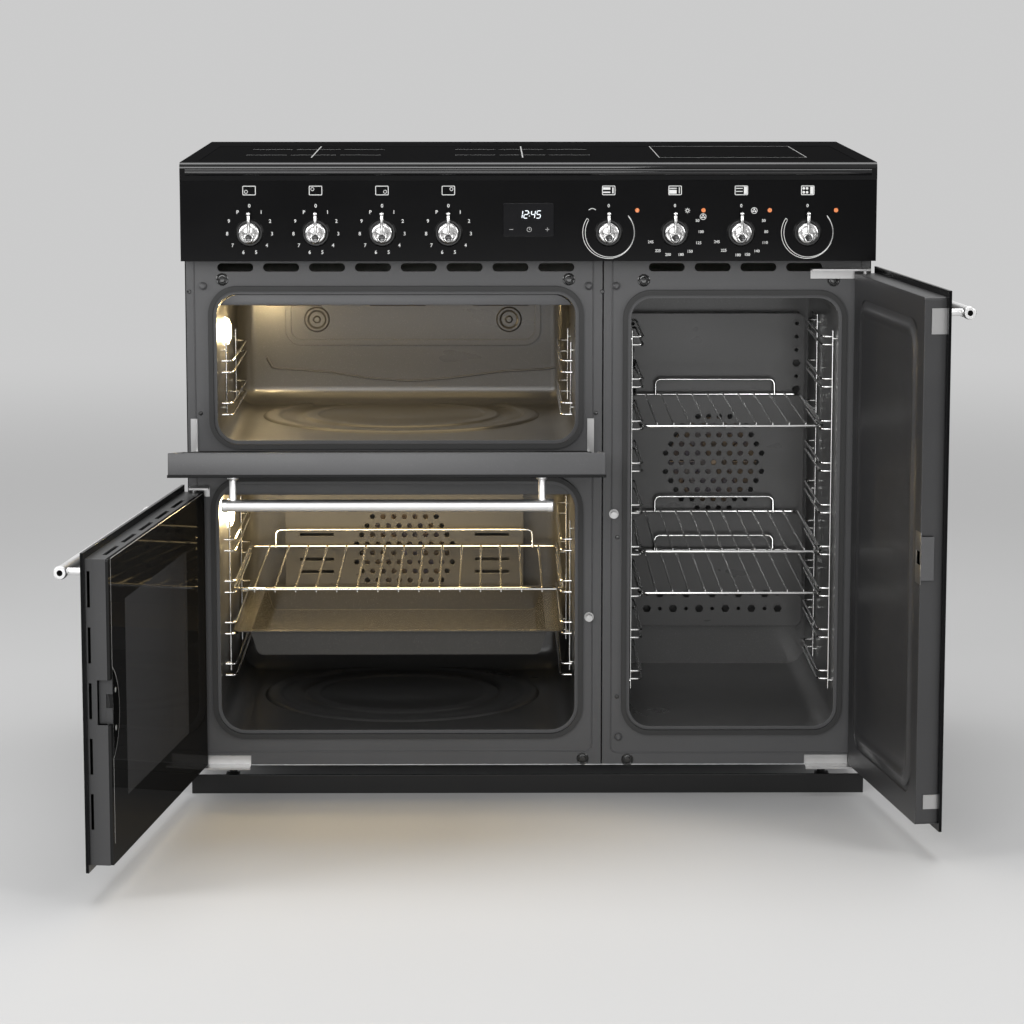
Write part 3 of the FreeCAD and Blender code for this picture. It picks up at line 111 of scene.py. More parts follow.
class CookerColours(bpy.types.PropertyGroup):
    """Colours of the cooker's finishes."""

    gloss_enamel: colour("Gloss enamel", "Fascia, hob frame and door skins", (0.0035, 0.0035, 0.0038))
    satin_enamel: colour("Satin enamel", "Front frames and door rings", (0.062, 0.062, 0.064))
    oven_enamel: colour("Oven enamel", "Linings of the ovens", (0.058, 0.057, 0.056))
    door_enamel: colour("Door enamel", "Folded sides of the main door", (0.038, 0.038, 0.039))
    door_liner: colour("Door liner", "Pressed liner of the tall door", (0.029, 0.029, 0.030))
    tray_enamel: colour("Tray enamel", "Baking tray", (0.036, 0.034, 0.030))
    plinth_enamel: colour("Plinth enamel", "Plinth", (0.007, 0.007, 0.007))
    bright_wire: colour("Bright wire", "Racks and shelves", (0.83, 0.83, 0.82))
    satin_steel: colour("Satin steel", "Handles and knobs", (0.76, 0.755, 0.75))
    white_ink: colour("White ink", "Numerals and marks on the fascia", (0.8, 0.8, 0.79))
    zinc: colour("Zinc", "Back, base and motors", (0.46, 0.47, 0.48))
    lamp_light: colour("Lamp light", "Light of the oven lamps", (1.0, 0.74, 0.36))


class CookerSizes(bpy.types.PropertyGroup):
    """Sizes of the cooker's small details."""

    numeral: length("Numeral", "Height of the numerals round the hob knobs", 0.0072)
    fine_numeral: length("Fine numeral", "Height of the temperatures", 0.0056)
    dial: length("Dial", "Radius of the ring of numerals", 0.0325)
    hob_line: length("Hob line", "Width of the lines on the glass", 0.0011)
    thick_wire: length("Thick wire", "Radius of a shelf's frame wire", 0.0024)
    thin_wire: length("Thin wire", "Radius of the cross wires and the racks", 0.0017)


class StudioSettings(bpy.types.PropertyGroup):
    """Light and camera of the studio."""

    key: power("Key", "Power of the large front lamp", 78)
    low: power("Low", "Power of the low front lamp", 6)
    fill: power("Fill", "Power of the side lamps", 60)
    top: power("Top", "Power of the overhead lamp", 84)
    oven_lamp: power("Oven lamp", "Power of a lamp in an oven", 1.6)
    oven_glow: power("Oven glow", "Power of the soft light under an oven's roof", 2.6)
    world: bpy.props.FloatProperty(
        name="World", description="Strength of the light from all round", min=0, default=0.4
    )
    backdrop: colour("Backdrop", "Colour of the background", (0.60, 0.60, 0.60))
    camera_place: bpy.props.FloatVectorProperty(
        name="Camera", description="Place of the camera", subtype="TRANSLATION",
        default=(-0.0610, -5.0066, 1.2111)
    )
    pitch: angle("Pitch", "Downward tilt", 0.1564)
    yaw: angle("Yaw", "Turn to the right", 0.0075)
    lens: bpy.props.FloatProperty(name="Lens", description="Focal length in millimetres", default=121.45)


# ---------------------------------------------------------------- shader writing


class Shade:
    """A shader socket that takes part in sums, so that a pattern is written as an expression."""

    def __init__(self, pattern, socket):
        self.pattern = pattern
        self.socket = socket

    def maths(self, operation, first, second=None):
        values = {0: first} if second is None else {0: first, 1: second}
        return self.pattern.node("ShaderNodeMath", {"operation": operation}, values)

    def __add__(self, other):
        return self.maths("ADD", self, other)

    __radd__ = __add__

    def __sub__(self, other):
        return self.maths("SUBTRACT", self, other)

    def __rsub__(self, other):
        return self.maths("SUBTRACT", other, self)

    def __mul__(self, other):
        return self.maths("MULTIPLY", self, other)

    __rmul__ = __mul__

    def __pow__(self, other):
        return self.maths("POWER", self, other)

    def __abs__(self):
        return self.maths("ABSOLUTE", self)

    def at_least(self, other):
        return self.maths("MAXIMUM", self, other)

    def at_most(self, other):
        return self.maths("MINIMUM", self, other)


class Pattern:
    """A node tree and the one method that adds nodes to it."""

    def __init__(self, tree):
        self.tree = tree

    def node(self, kind, settings=None, values=None, out=0):
        """Adds one node: its settings first, then the values or links of its sockets."""
        added = self.tree.nodes.new(kind)
        settings = dict(settings or {})
        stops = settings.pop("stops", None)
        for name, value in settings.items():
            setattr(added, name, value)
        if stops:
            ramp = added.color_ramp
            while len(ramp.elements) < len(stops):
                ramp.elements.new(0.5)
            for element, (place, tone) in zip(ramp.elements, stops):
                element.position = place
                element.color = (*tone, 1)
        for key, value in (values or {}).items():
            self.join(value, added.inputs[key])
        return Shade(self, added.outputs[out])

    def join(self, value, socket):
        """Links a shade to a socket, or sets the socket's own value."""
        if isinstance(value, Shade):
            self.tree.links.new(value.socket, socket)
        else:
            socket.default_value = value

    def blend(self, mask, first, second):
        """A colour between two, by a mask."""
        tones = [c if isinstance(c, Shade) else (*c, 1) for c in (first, second)]
        return self.node("ShaderNodeMix", {"data_type": "RGBA"}, {0: mask, 6: tones[0], 7: tones[1]}, 2)


class Finish(Pattern):
    """A material, its surface shader and the patterns that feed it."""

    made = {}

    def __init__(self, name, slot, base, roughness, **sockets):
        self.material = bpy.data.materials.new(name)
        self.material.use_nodes = True
        super().__init__(self.material.node_tree)
        self.slot = slot
        self.shader = next(n for n in self.tree.nodes if n.type == "BSDF_PRINCIPLED")
        self.coordinates = self.node("ShaderNodeTexCoord", out="Object")
        self.set(Base_Color=(*base, 1), Roughness=roughness, **sockets)
        Finish.made[name] = self

    def set(self, **sockets):
        """Sets or links sockets of the surface shader."""
        for name, value in sockets.items():
            self.join(value, self.shader.inputs[name.replace("_", " ")])
        return self

    def place(self, scale=(1, 1, 1), turn=(0, 0, 0), shift=(0, 0, 0)):
        """Object coordinates, stretched, turned and shifted."""
        return self.node("ShaderNodeMapping", values={0: self.coordinates, 1: shift, 2: turn, 3: scale})

    def closed(self, joint_name):
        """Object coordinates of a door's piece, as they are while the door is closed."""
        joint = JOINTS[joint_name]
        pivot = Vector(joint["pos_m"])
        turn = Matrix.Rotation(math.radians(joint["range_deg"][1]), 3, Vector(joint["axis"]))
        return self.place(turn=turn.to_euler(), shift=pivot - turn @ pivot)

    def rectangle(self, where, x0, x1, z0, z1, rounding=0.0005, soft=0.0004):
        """1 inside an upright rectangle with rounded corners, and 0 outside it."""
        across = abs(self.axis(0, where) - (x0 + x1) / 2) - ((x1 - x0) / 2 - rounding)
        upward = abs(self.axis(2, where) - (z0 + z1) / 2) - ((z1 - z0) / 2 - rounding)
        outside = (across.at_least(0) ** 2 + upward.at_least(0) ** 2) ** 0.5
        inside = across.at_least(upward).at_most(0)
        return self.band(outside + inside - rounding, -soft, soft, 1, 0)

    def noise(self, scale, detail=2.0, rough=0.5, where=None, warp=0.0):
        """Soft noise; scale is in cells per metre."""
        values = {"Vector": where or self.coordinates, "Scale": scale, "Detail": detail, "Roughness": rough,
                  "Distortion": warp}
        return self.node("ShaderNodeTexNoise", values=values)

    def band(self, value, low, high, start=0.0, end=1.0):
        """Maps a range of a value onto another, smoothly and clamped."""
        settings = {"interpolation_type": "SMOOTHSTEP", "clamp": True}
        return self.node("ShaderNodeMapRange", settings, {0: value, 1: low, 2: high, 3: start, 4: end})

    def rounded(self, radius):
        """The surface's direction, softened near edges."""
        return self.node("ShaderNodeBevel", {"samples": EDGE_SAMPLES}, {"Radius": radius})

    def relief(self, height, depth, soft_edge=0.0):
        """Bumps the surface by a height, on edges that are softened by a radius."""
        values = {"Height": height, "Distance": depth, "Strength": 1.0}
        if soft_edge:
            values["Normal"] = self.rounded(soft_edge)
        return self.set(Normal=self.node("ShaderNodeBump", values=values))

    def edges(self, radius):
        """1 along sharp edges, where a rounded normal leaves the face's own, and 0 on the flats."""
        rounded = self.rounded(radius)
        flat = self.node("ShaderNodeNewGeometry", out="Normal")
        match = self.node("ShaderNodeVectorMath", {"operation": "DOT_PRODUCT"}, {0: rounded, 1: flat}, "Value")
        return self.band(match, 0.80, 0.97, 1.0, 0.0)

    def axis(self, index, where=None):
        """One coordinate of a vector."""
        return self.node("ShaderNodeSeparateXYZ", values={0: where or self.coordinates}, out=index)


def tint(base, factor):
    """A colour made darker or lighter."""
    return tuple(min(1, c * factor) for c in base)


def enamel(name, slot, base, roughness, *, peel, edge=0.0011, specks, edge_highlight=0.7, **sockets):
    """Vitreous enamel: a faint orange peel, cloudy gloss, dust and pinholes, softened edges, and a painted
    highlight along the edges.

    peel is the depth of the waves, edge the radius of the edges, specks the share of pale dust, and the last
    how strongly a painted highlight lightens the edges.
    """
    finish = Finish(name, slot, base, roughness, **sockets)
    cloud = finish.noise(7, 4, 0.6)
    wipe = finish.noise(3, 3, 0.55, finish.place((1, 1, 6), (0.3, 0.2, 0.5)), 0.6)
    fleck = finish.band(finish.noise(950, 1), 0.66, 0.74)
    pale = finish.blend(cloud, tint(base, 0.86), tint(base, 1.16))
    # Painted highlight: the colour is made paler along the sharp edges, where light would catch them.
    put_on = finish.blend(finish.edges(max(edge, 0.0008)) * edge_highlight, pale, tint(base, 2.6))
    finish.set(Base_Color=finish.blend(fleck * specks, put_on, tint(base, 3.2)))
    finish.set(Roughness=roughness * (0.75 + cloud * 0.35 + wipe * 0.35) + fleck * 0.12)
    waves = finish.noise(210, 2) * 0.7 + finish.noise(70, 1) * 0.5 - fleck * 0.15
    finish.relief(waves, peel, edge)
    return finish


def metal(name, slot, base, roughness, *, grain, stretch=(1, 1, 1), edge=0.0):
    """Bare metal with a fine grain of a depth, drawn out along one way, and small scratches."""
    finish = Finish(name, slot, base, roughness, Metallic=1.0)
    lines = finish.noise(1400, 3, 0.7, finish.place(stretch))
    cloud = finish.noise(18, 3)
    scratch = finish.band(finish.noise(260, 2, 0.6, finish.place((1, 0.08, 1), (0.4, 0.7, 0.2))), 0.68, 0.74)
    finish.set(Base_Color=finish.blend(cloud * 0.6 + lines * 0.4, tint(base, 0.84), tint(base, 1.12)))
    finish.set(Roughness=roughness * (0.7 + lines * 0.4 + cloud * 0.25) + scratch * 0.08)
    finish.relief(lines - scratch * 0.4, grain, edge)
    return finish


def moulded(name, slot, base, roughness, grain=0.00002):
    """Moulded plastic or rubber with a fine erosion."""
    finish = Finish(name, slot, base, roughness)
    pores = finish.noise(1600, 2, 0.6)
    cloud = finish.noise(25, 3)
    finish.set(Base_Color=finish.blend(cloud, tint(base, 0.8), tint(base, 1.25)))
    finish.set(Roughness=roughness * (0.85 + cloud * 0.3))
    finish.relief(pores, grain, 0.0004)
    return finish


def ink(name, base, glow=0.0):
    """Fired print, a little uneven in its cover."""
    finish = Finish(name, None, base, 0.35)
    cover = finish.noise(2400, 2)
    finish.set(Base_Color=finish.blend(cover, tint(base, 0.82), base))
    if glow:
        finish.set(Emission_Color=(*base, 1), Emission_Strength=glow)
    finish.relief(cover, 0.00001)
    return finish


def zinc_sheet(base):
    """Hot-dipped zinc with spangles."""
    finish = metal("zinc_sheet", "zinc_sheet", base, 0.4, grain=0.00002, edge=0.0006)
    cells = {"Vector": finish.coordinates, "Scale": 140.0}
    spangle = finish.node("ShaderNodeTexVoronoi", values=cells, out="Color")
    finish.set(Base_Color=finish.blend(spangle, tint(base, 0.78), tint(base, 1.15)))


def heated_steel():
    """Element tube, heat-tinted from grey to a faint bronze."""
    finish = Finish("heated_steel", "element_steel", (0.16, 0.14, 0.12), 0.42, Metallic=0.9)
    bands = finish.noise(14, 3, 0.6, warp=1.2)
    stops = (
        (0.3, (0.10, 0.095, 0.09)),
        (0.5, (0.2, 0.15, 0.1)),
        (0.62, (0.12, 0.11, 0.13)),
        (0.8, (0.24, 0.22, 0.2)),
    )
    finish.set(Base_Color=finish.node("ShaderNodeValToRGB", {"stops": stops}, {0: bands}))
    finish.set(Roughness=0.32 + finish.noise(600, 2) * 0.25)
    finish.relief(finish.noise(900, 3), 0.00004)
    return finish


def calm(finish, straight=1.0, slanted=0.02):
    """Takes the gloss down where a face is seen at a slant, so that it stays black."""
    facing = finish.node("ShaderNodeLayerWeight", values={"Blend": 0.5}, out="Facing")
    finish.set(Specular_IOR_Level=0.0, Coat_Roughness=0.04)
    finish.set(Coat_Weight=finish.band(facing, 0.5, 0.84, straight, slanted))


def hob_glass():
    """Black ceramic glass: nearly flat, with a dust film and a fine stipple under the surface."""
    finish = Finish("hob_ceramic", "black_glass", (0.006, 0.006, 0.007), 0.05)
    calm(finish)
    stipple = finish.band(finish.noise(1800, 1), 0.62, 0.7)
    smear = finish.noise(9, 4, 0.6, finish.place((1, 3, 1), (0, 0, 0.4)), 0.8)
    finish.set(Base_Color=finish.blend(stipple * 0.5, (0.002, 0.002, 0.0022), (0.012, 0.012, 0.013)))
    finish.set(Roughness=0.03 + finish.band(smear, 0.45, 0.75) * 0.07)
    finish.relief(finish.noise(40, 1), 0.00002, 0.0008)
    return finish


def oven_pane(name, joint_name, window):
    """A door's panes: black print right round a window of grey glass that shows what is behind it."""
    finish = Finish(name, "black_glass", (0.010, 0.010, 0.010), 0.3)
    calm(finish, 0.35, 0.10)
    opening = finish.rectangle(finish.closed(joint_name), *window)
    smear = finish.noise(11, 4, 0.6, warp=0.7)
    finish.set(Base_Color=finish.blend(opening, (0.010, 0.010, 0.010), (0.045, 0.045, 0.046)))
    finish.set(Roughness=0.3 + finish.band(smear, 0.4, 0.8) * 0.08, Alpha=1 - opening * 0.24)
    finish.relief(finish.noise(30, 1), 0.00002, 0.0006)
    return finish


def clock_glass():
    """The black glass in front of the clock."""
    finish = Finish("clock_glass", "black_glass", (0.004, 0.004, 0.005), 0.04)
    smear = finish.noise(40, 4, 0.6)
    finish.set(Base_Color=finish.blend(smear, (0.003, 0.003, 0.004), (0.007, 0.007, 0.008)))
    finish.set(Roughness=0.03 + smear * 0.05)
    finish.relief(finish.noise(60, 1), 0.00001, 0.0006)
    return finish


def wound_copper():
    """Flat coil of stranded copper, in rings round each coil's middle."""
    finish = Finish("wound_copper", "copper_coil", (0.45, 0.2, 0.1), 0.4, Metallic=0.8)
    where = finish.coordinates
    rings = finish.node("ShaderNodeTexWave", {"wave_type": "RINGS", "rings_direction": "Z"},
                        {"Vector": where, "Scale": 60.0, "Distortion": 0.4})
    finish.set(Base_Color=finish.blend(rings, (0.22, 0.09, 0.04), (0.6, 0.3, 0.16)))
    finish.set(Roughness=0.3 + rings * 0.2)
    finish.relief(rings, 0.0006)
    return finish


def felted_wool():
    """Pale mineral wool, matted fibres."""
    finish = Finish("felted_wool", "mineral_wool", (0.6, 0.55, 0.4), 0.95, Sheen_Weight=0.3)
    fibre = finish.noise(320, 5, 0.75, finish.place((1, 0.3, 1), (0.3, 0.5, 0.1)), 1.5)
    finish.set(Base_Color=finish.blend(fibre, (0.42, 0.38, 0.26), (0.75, 0.7, 0.55)))
    finish.set(Roughness=0.85 + fibre * 0.15)
    finish.relief(fibre, 0.0012)
    return finish


def lit_glass(light):
    """Frosted lamp glass that glows."""
    finish = Finish("lamp_glass", "lamp_glass", (0.95, 0.9, 0.8), 0.4, Emission_Strength=6.0)
    middle = finish.noise(60, 2)
    finish.set(Emission_Color=finish.blend(middle, light, (1.0, 0.9, 0.7)))
    finish.relief(finish.noise(500, 1), 0.00005)
    return finish


def lens(name, base):
    """A small coloured indicator lens with moulded facets."""
    finish = Finish(name, "amber_lens", base, 0.12, Coat_Weight=0.6)
    finish.set(Emission_Color=(*base, 1), Emission_Strength=0.25)
    facets = finish.node("ShaderNodeTexVoronoi", values={"Vector": finish.coordinates, "Scale": 900.0})
    finish.set(Base_Color=finish.blend(facets, tint(base, 0.6), base))
    finish.relief(facets, 0.0003)
    return finish


def make_finishes(colours):
    """Every finish on the cooker."""
    Finish.made.clear()
    gloss, steel = colours.gloss_enamel, colours.satin_steel
    enamel(
        "gloss_enamel", "black_enamel", gloss, 0.13, peel=0.00001, edge=0.0012, specks=0.15, edge_highlight=0.9,
        Specular_IOR_Level=0.09
    )
    calm(enamel("hob_enamel", "black_enamel", gloss, 0.2, peel=0.00001, edge=0.0012, specks=0.15, edge_highlight=1.0))
    enamel("satin_enamel", "grey_enamel", colours.satin_enamel, 0.36, peel=0.00004, specks=0.35)
    enamel(
        "oven_enamel", "oven_enamel", colours.oven_enamel, 0.27, peel=0.00005, edge=0.0014, specks=0.5,
        Coat_Weight=0.25, Coat_Roughness=0.15
    )
    enamel(
        "door_liner", "grey_enamel", colours.door_liner, 0.33, peel=0.00004, edge=0.003, specks=0.3, edge_highlight=0.2
    )
    enamel("door_enamel", "grey_enamel", colours.door_enamel, 0.36, peel=0.00004, specks=0.35)
    enamel(
        "tray_enamel", "black_enamel", colours.tray_enamel, 0.2, peel=0.00003, edge=0.0012, specks=0.6,
        Specular_IOR_Level=0.4
    )
    enamel(
        "plinth_enamel", "plinth_black", colours.plinth_enamel, 0.4, peel=0.00003, edge=0.001, specks=0.2,
        Specular_IOR_Level=0.3
    )
    metal("bright_wire", "bright_wire", colours.bright_wire, 0.13, grain=0.00001)
    metal("satin_bar", "satin_steel", tint(steel, 1.25), 0.36, grain=0.00002, stretch=(0.02, 1, 1), edge=0.0008)
    metal(
        "turned_steel", "satin_steel", tint(steel, 0.85), 0.14, grain=0.00001, stretch=(1, 0.1, 1), edge=0.0005
    )
    metal(
        "bracket_steel", "satin_steel", tint(steel, 0.62), 0.34, grain=0.00003, stretch=(1, 1, 0.1), edge=0.0006
    )
    zinc_sheet(colours.zinc)
    heated_steel()
    hob_glass()
    oven_pane("main_door_pane", "main_door_swing", (-0.367, 0.007, 0.123, 0.388))
    oven_pane("grill_door_pane", "grill_door_drop", (-0.367, 0.007, 0.545, 0.705))
    clock_glass()
    moulded("seal_rubber", "seal_rubber", (0.018, 0.018, 0.018), 0.6, 0.00004)
    moulded("black_plastic", "black_plastic", (0.02, 0.02, 0.02), 0.42)
    moulded("gloss_plastic", "black_plastic", (0.012, 0.012, 0.012), 0.16, 0.000005).set(Coat_Weight=0.6)
    moulded("slot_shadow", "black_plastic", (0.004, 0.004, 0.004), 0.8).set(Specular_IOR_Level=0.0)
    ink("white_print", colours.white_ink)
    ink("hob_print", tint(colours.white_ink, 0.6))
    ink("display_digits", (0.75, 0.80, 0.85), 0.6)
    wound_copper()
    felted_wool()
    lit_glass(colours.lamp_light)
    lens("amber_lens", (0.75, 0.22, 0.06))


# ---------------------------------------------------------------- modelling by hand


def clear_bench():
    """Back to object mode, with nothing selected."""
    if bpy.context.mode != "OBJECT":
        bpy.ops.object.mode_set(mode="OBJECT")
    bpy.ops.object.select_all(action="DESELECT")


def place_in_mesh():
    """Puts the active object's place, turn and size into its mesh."""
    bpy.ops.object.transform_apply(location=True, rotation=True, scale=True)


def select_all():
    """Selects the whole mesh in edit mode."""
    bpy.ops.mesh.select_all(action="SELECT")


def shape():
    """Opens the active primitive for shaping, with all of it selected."""
    place_in_mesh()
    bpy.ops.object.mode_set(mode="EDIT")
    select_all()


def settle(smooth=35):
    """Ends the shaping of the active piece: doubles merged, normals outward, place in the mesh."""
    piece = bpy.context.object
    if bpy.context.mode != "OBJECT":
        bpy.ops.object.mode_set(mode="OBJECT")
    shape()
    bpy.ops.mesh.remove_doubles(threshold=MERGE)
    bpy.ops.mesh.normals_make_consistent(inside=False)
    bpy.ops.object.mode_set(mode="OBJECT")
    bpy.ops.object.shade_smooth_by_angle(angle=math.radians(smooth))
    return piece


def soften(width):
    """Rounds the edges of the active piece."""
    bpy.ops.object.modifier_add(type="BEVEL")
    bevel = bpy.context.object.modifiers[-1]
    bevel.width = width
    bevel.segments = 3
    bpy.ops.object.modifier_apply(modifier=bevel.name)


def block(low, high, rounding=0.0):
    """A block between two corners, with its edges rounded."""
    clear_bench()
    low, high = Vector(low), Vector(high)
    bpy.ops.mesh.primitive_cube_add(size=1, location=(low + high) / 2, scale=high - low)
    place_in_mesh()
    if rounding:
        soften(rounding)
    return settle()


def plate(centre, wide, tall, turn=FACING_FRONT):
    """A flat rectangle, open for shaping."""
    clear_bench()
    bpy.ops.mesh.primitive_plane_add(size=1, location=centre, rotation=turn)
    bpy.context.object.scale = (wide, tall, 1)
    shape()


def extrude(value):
    """Extrudes what is selected by a vector."""
    bpy.ops.mesh.extrude_region_move(TRANSFORM_OT_translate={"value": value})


def wire(points, radius, bend=0.006):
    """A round wire along straight runs: a disc extruded along each run and spun round each corner."""
    clear_bench()
    points = [Vector(p) for p in points]
    runs = [b - a for a, b in zip(points, points[1:])]
    turn = runs[0].normalized().to_track_quat("Z", "Y").to_euler()
    bpy.ops.mesh.primitive_circle_add(
        vertices=WIRE_SIDES, radius=radius, fill_type="NGON", location=points[0], rotation=turn
    )
    shape()
    used = 0.0
    for index, run in enumerate(runs):
        heading = run.normalized()
        last = index == len(runs) - 1
        corner_angle = 0 if last else heading.angle(runs[index + 1])
        trim = bend * math.tan(corner_angle / 2)
        extrude(heading * (run.length - used - trim))
        used = trim
        if corner_angle > STRAIGHT:
            following = runs[index + 1].normalized()
            side = (following - heading * following.dot(heading)).normalized()
            corner = points[index + 1] - heading * trim
            bpy.ops.mesh.spin(
                steps=BEND_STEPS, angle=-corner_angle, center=corner + side * bend,
                axis=heading.cross(following)
            )
    return settle(60)


def turned(profile, place, axis=(0, 1, 0), sides=32, squash=(1, 1, 1), closed=True):
    """A turned shape: a disc at place, extruded and resized ring by ring along (radius, distance) steps."""
    clear_bench()
    axis, place = Vector(axis), Vector(place)
    radius, along = profile[0]
    bpy.ops.mesh.primitive_circle_add(
        vertices=sides, radius=radius, fill_type="NGON" if closed else "NOTHING",
        location=place + axis * along, rotation=axis.to_track_quat("Z", "X").to_euler(), scale=squash,
    )
    shape()
    for next_radius, next_along in profile[1:]:
        extrude(axis * (next_along - along))
        ratio = next_radius / radius
        bpy.ops.transform.resize(value=(ratio, ratio, ratio), center_override=place + axis * next_along)
        radius, along = next_radius, next_along
    if not closed:
        bpy.ops.mesh.edge_face_add()
    return settle()


def behind(rim, front):
    """A profile of (radius, distance) steps, measured back from a front."""
    return [(radius, front + depth) for radius, depth in rim]


def copies(piece, steps):
    """The piece and its copies at each step from it, each with its own mesh, joined into one."""
    made = []
    for step in steps:
        twin = piece.copy()
        twin.data = piece.data.copy()
        twin.data.transform(Matrix.Translation(step))
        bpy.context.collection.objects.link(twin)
        made.append(twin)
    bpy.data.objects.remove(piece)
    return joined(made)


def joined(pieces):
    """Several pieces joined into one."""
    clear_bench()
    for piece in pieces:
        piece.select_set(True)
    bpy.context.view_layer.objects.active = pieces[0]
    if len(pieces) > 1:
        bpy.ops.object.join()
    return bpy.context.object


def swung(piece, joint_name):
    """Takes a piece that was made on a closed door to the open place where the door rests."""
    joint = JOINTS[joint_name]
    pivot = Vector(joint["pos_m"])
    angle = -math.radians(joint["range_deg"][1])
    turn = Matrix.Rotation(angle, 4, Vector(joint["axis"]))
    piece.data.transform(Matrix.Translation(pivot) @ turn @ Matrix.Translation(-pivot))
    return piece


def fitted(piece, name, body, finish, stands_for=()):
    """Names a piece, gives it its finish and fixes it to its body."""
    piece.name = name
    piece.data.name = name
    shade = Finish.made[finish]
    piece.data.materials.clear()
    piece.data.materials.append(shade.material)
    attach(piece, body)
    if stands_for:
        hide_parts(*stands_for)
    return piece


def letters(text, size, place):
    """Printed letters on the fascia."""
    clear_bench()
    bpy.ops.object.text_add(location=place, rotation=FACING_FRONT)
    words = bpy.context.object
    words.data.body = text
    words.data.size = size
    words.data.align_x = "CENTER"
    words.data.align_y = "CENTER"
    words.data.extrude = PRINT_THICK
    words.data.offset = size * INK_SPREAD
    words.data.resolution_u = 3
    bpy.ops.object.convert(target="MESH")
    return settle()


def stripe(first, second, width, up=(0, 0, 1)):
    """A thin printed line between two points of a face whose normal is up."""
    first, second, up = Vector(first), Vector(second), Vector(up)
    along = second - first
    turn = Matrix((along.normalized(), up.cross(along).normalized(), up)).transposed().to_euler()
    plate((first + second) / 2, along.length, width, turn)
    extrude(up * PRINT_THICK)
    return settle()


def clock_way(degrees):
    """The way on the fascia at an angle that is counted clockwise from the top."""
    return Vector((math.sin(math.radians(degrees)), 0, math.cos(math.radians(degrees))))


def arc(centre, radius, start, end, width, steps=48):
    """A printed arc on the fascia between two angles, clockwise from the top: a short edge spun round."""
    centre = Vector(centre)
    heading = clock_way(start)
    front = Vector(FORWARD)
    tangent = front.cross(heading)
    turn = Matrix((heading, tangent, front)).transposed().to_euler()
    plate(centre + heading * radius, width, 0.0001, turn)
    mesh = bmesh.from_edit_mesh(bpy.context.object.data)
    for vertex in mesh.verts:
        vertex.select_set((vertex.co - centre).dot(tangent) < 0)
    bmesh.update_edit_mesh(bpy.context.object.data)
    bpy.ops.mesh.delete(type="VERT")
    select_all()
    bpy.ops.mesh.spin(steps=steps, angle=math.radians(start - end), center=centre, axis=(0, 1, 0))
    select_all()
    bpy.ops.mesh.remove_doubles(threshold=0.000001)
    extrude(front * PRINT_THICK)
    return settle()


def frame_outline(centre, wide, tall, line):
    """A printed rounded rectangle on the fascia, drawn as an outline."""
    plate(centre, wide, tall)
    bpy.ops.mesh.bevel(offset=0.0015, segments=4, affect="VERTICES")
    select_all()
    bpy.ops.mesh.inset(thickness=line)
    bpy.ops.mesh.delete(type="FACE")
    select_all()
    extrude((0, -PRINT_THICK, 0))
    return settle()


def patch(centre, wide, tall):
    """A printed solid rectangle on the fascia."""
    x, y, z = centre
    low = (x - wide / 2, y - PRINT_THICK, z - tall / 2)
    return block(low, (x + wide / 2, y, z + tall / 2))


# ---------------------------------------------------------------- operators


class COOKER_OT_finishes(bpy.types.Operator):
    """Gives every structural piece its finish"""

    bl_idname = "cooker.finishes"
    bl_label = "Finishes"

    put_on = {
        "hob_enamel": "hob_frame",
        "gloss_enamel": "control_fascia main_door_skin tall_door_skin grill_door_skin side_panels",
        "satin_enamel": "front_frame_left front_frame_right grill_door_frame frame_bumpers",
        "door_enamel": "main_door_frame",
        "oven_enamel": "grill_cavity main_cavity tall_cavity main_fan_cover tall_fan_cover",
        "door_liner": "tall_door_liner",
        "tray_enamel": "baking_tray",
        "plinth_enamel": "plinth",
        "zinc_sheet": "back_panel base_pan fan_motors",
        "heated_steel": "grill_element ring_elements main_fan tall_fan",
        "hob_ceramic": "hob_glass",
        "main_door_pane": "main_door_glass",
        "grill_door_pane": "grill_door_glass",
        "clock_glass": "display_window",
        "seal_rubber": "oven_seals",
        "black_plastic": "levelling_feet terminal_box switch_bodies",
        "gloss_plastic": "knob_bezels",
        "satin_bar": "main_door_handle tall_door_handle grill_door_handle",
        "bracket_steel": "hinge_brackets door_catches tall_door_clips",
        "turned_steel": " ".join(f"knob_{i}" for i in range(1, 9)),
        "bright_wire": "main_shelf tall_shelf_upper tall_shelf_middle tall_shelf_lower main_side_racks "
                       "tall_side_racks grill_side_racks",
        "wound_copper": "induction_coils",
        "felted_wool": "cavity_insulation",
        "lamp_glass": "oven_lamps",
        "amber_lens": "indicator_lamps",
    }

    def execute(self, context):
        make_finishes(context.scene.cooker_colours)
        dressed = set()
        for finish, names in self.put_on.items():
            for name in names.split():
                mesh = NODES[name].data
                mesh.materials.clear()
                mesh.materials.append(Finish.made[finish].material)
                dressed.add(name)
        bare = set(NODES) - dressed
        if bare:
            raise RuntimeError(f"these have no finish: {sorted(bare)}")
        return {"FINISHED"}


class COOKER_OT_hob_marks(bpy.types.Operator):
    """Prints the zones on the hob glass"""

    bl_idname = "cooker.hob_marks"
    bl_label = "Hob marks"

    near, far = 0.095, 0.414
    middles = (-0.318, -0.007)
    rows = (0.165, 0.324)
    bars = ((-0.101, -0.040), (-0.034, 0.034), (0.040, 0.101))
    left, right = 0.194, 0.411

    def execute(self, context):
        z = GLASS_TOP
        line = context.scene.cooker_sizes.hob_line
        marks = []
        for x in self.middles:
            marks.append(stripe((x, self.near, z), (x, self.far, z), line * 1.6))
            for y in self.rows:
                for x0, x1 in self.bars:
                    marks.append(stripe((x + x0, y, z), (x + x1, y, z), line))
        left, right, near, far = self.left, self.right, self.near, self.far
        corners = [(left, near), (right, near), (right, far), (left, far)]
        for (x0, y0), (x1, y1) in zip(corners, corners[1:] + corners[:1]):
            marks.append(stripe((x0, y0, z), (x1, y1, z), line))
        fitted(joined(marks), "hob_zone_print", "cooker", "hob_print")
        return {"FINISHED"}


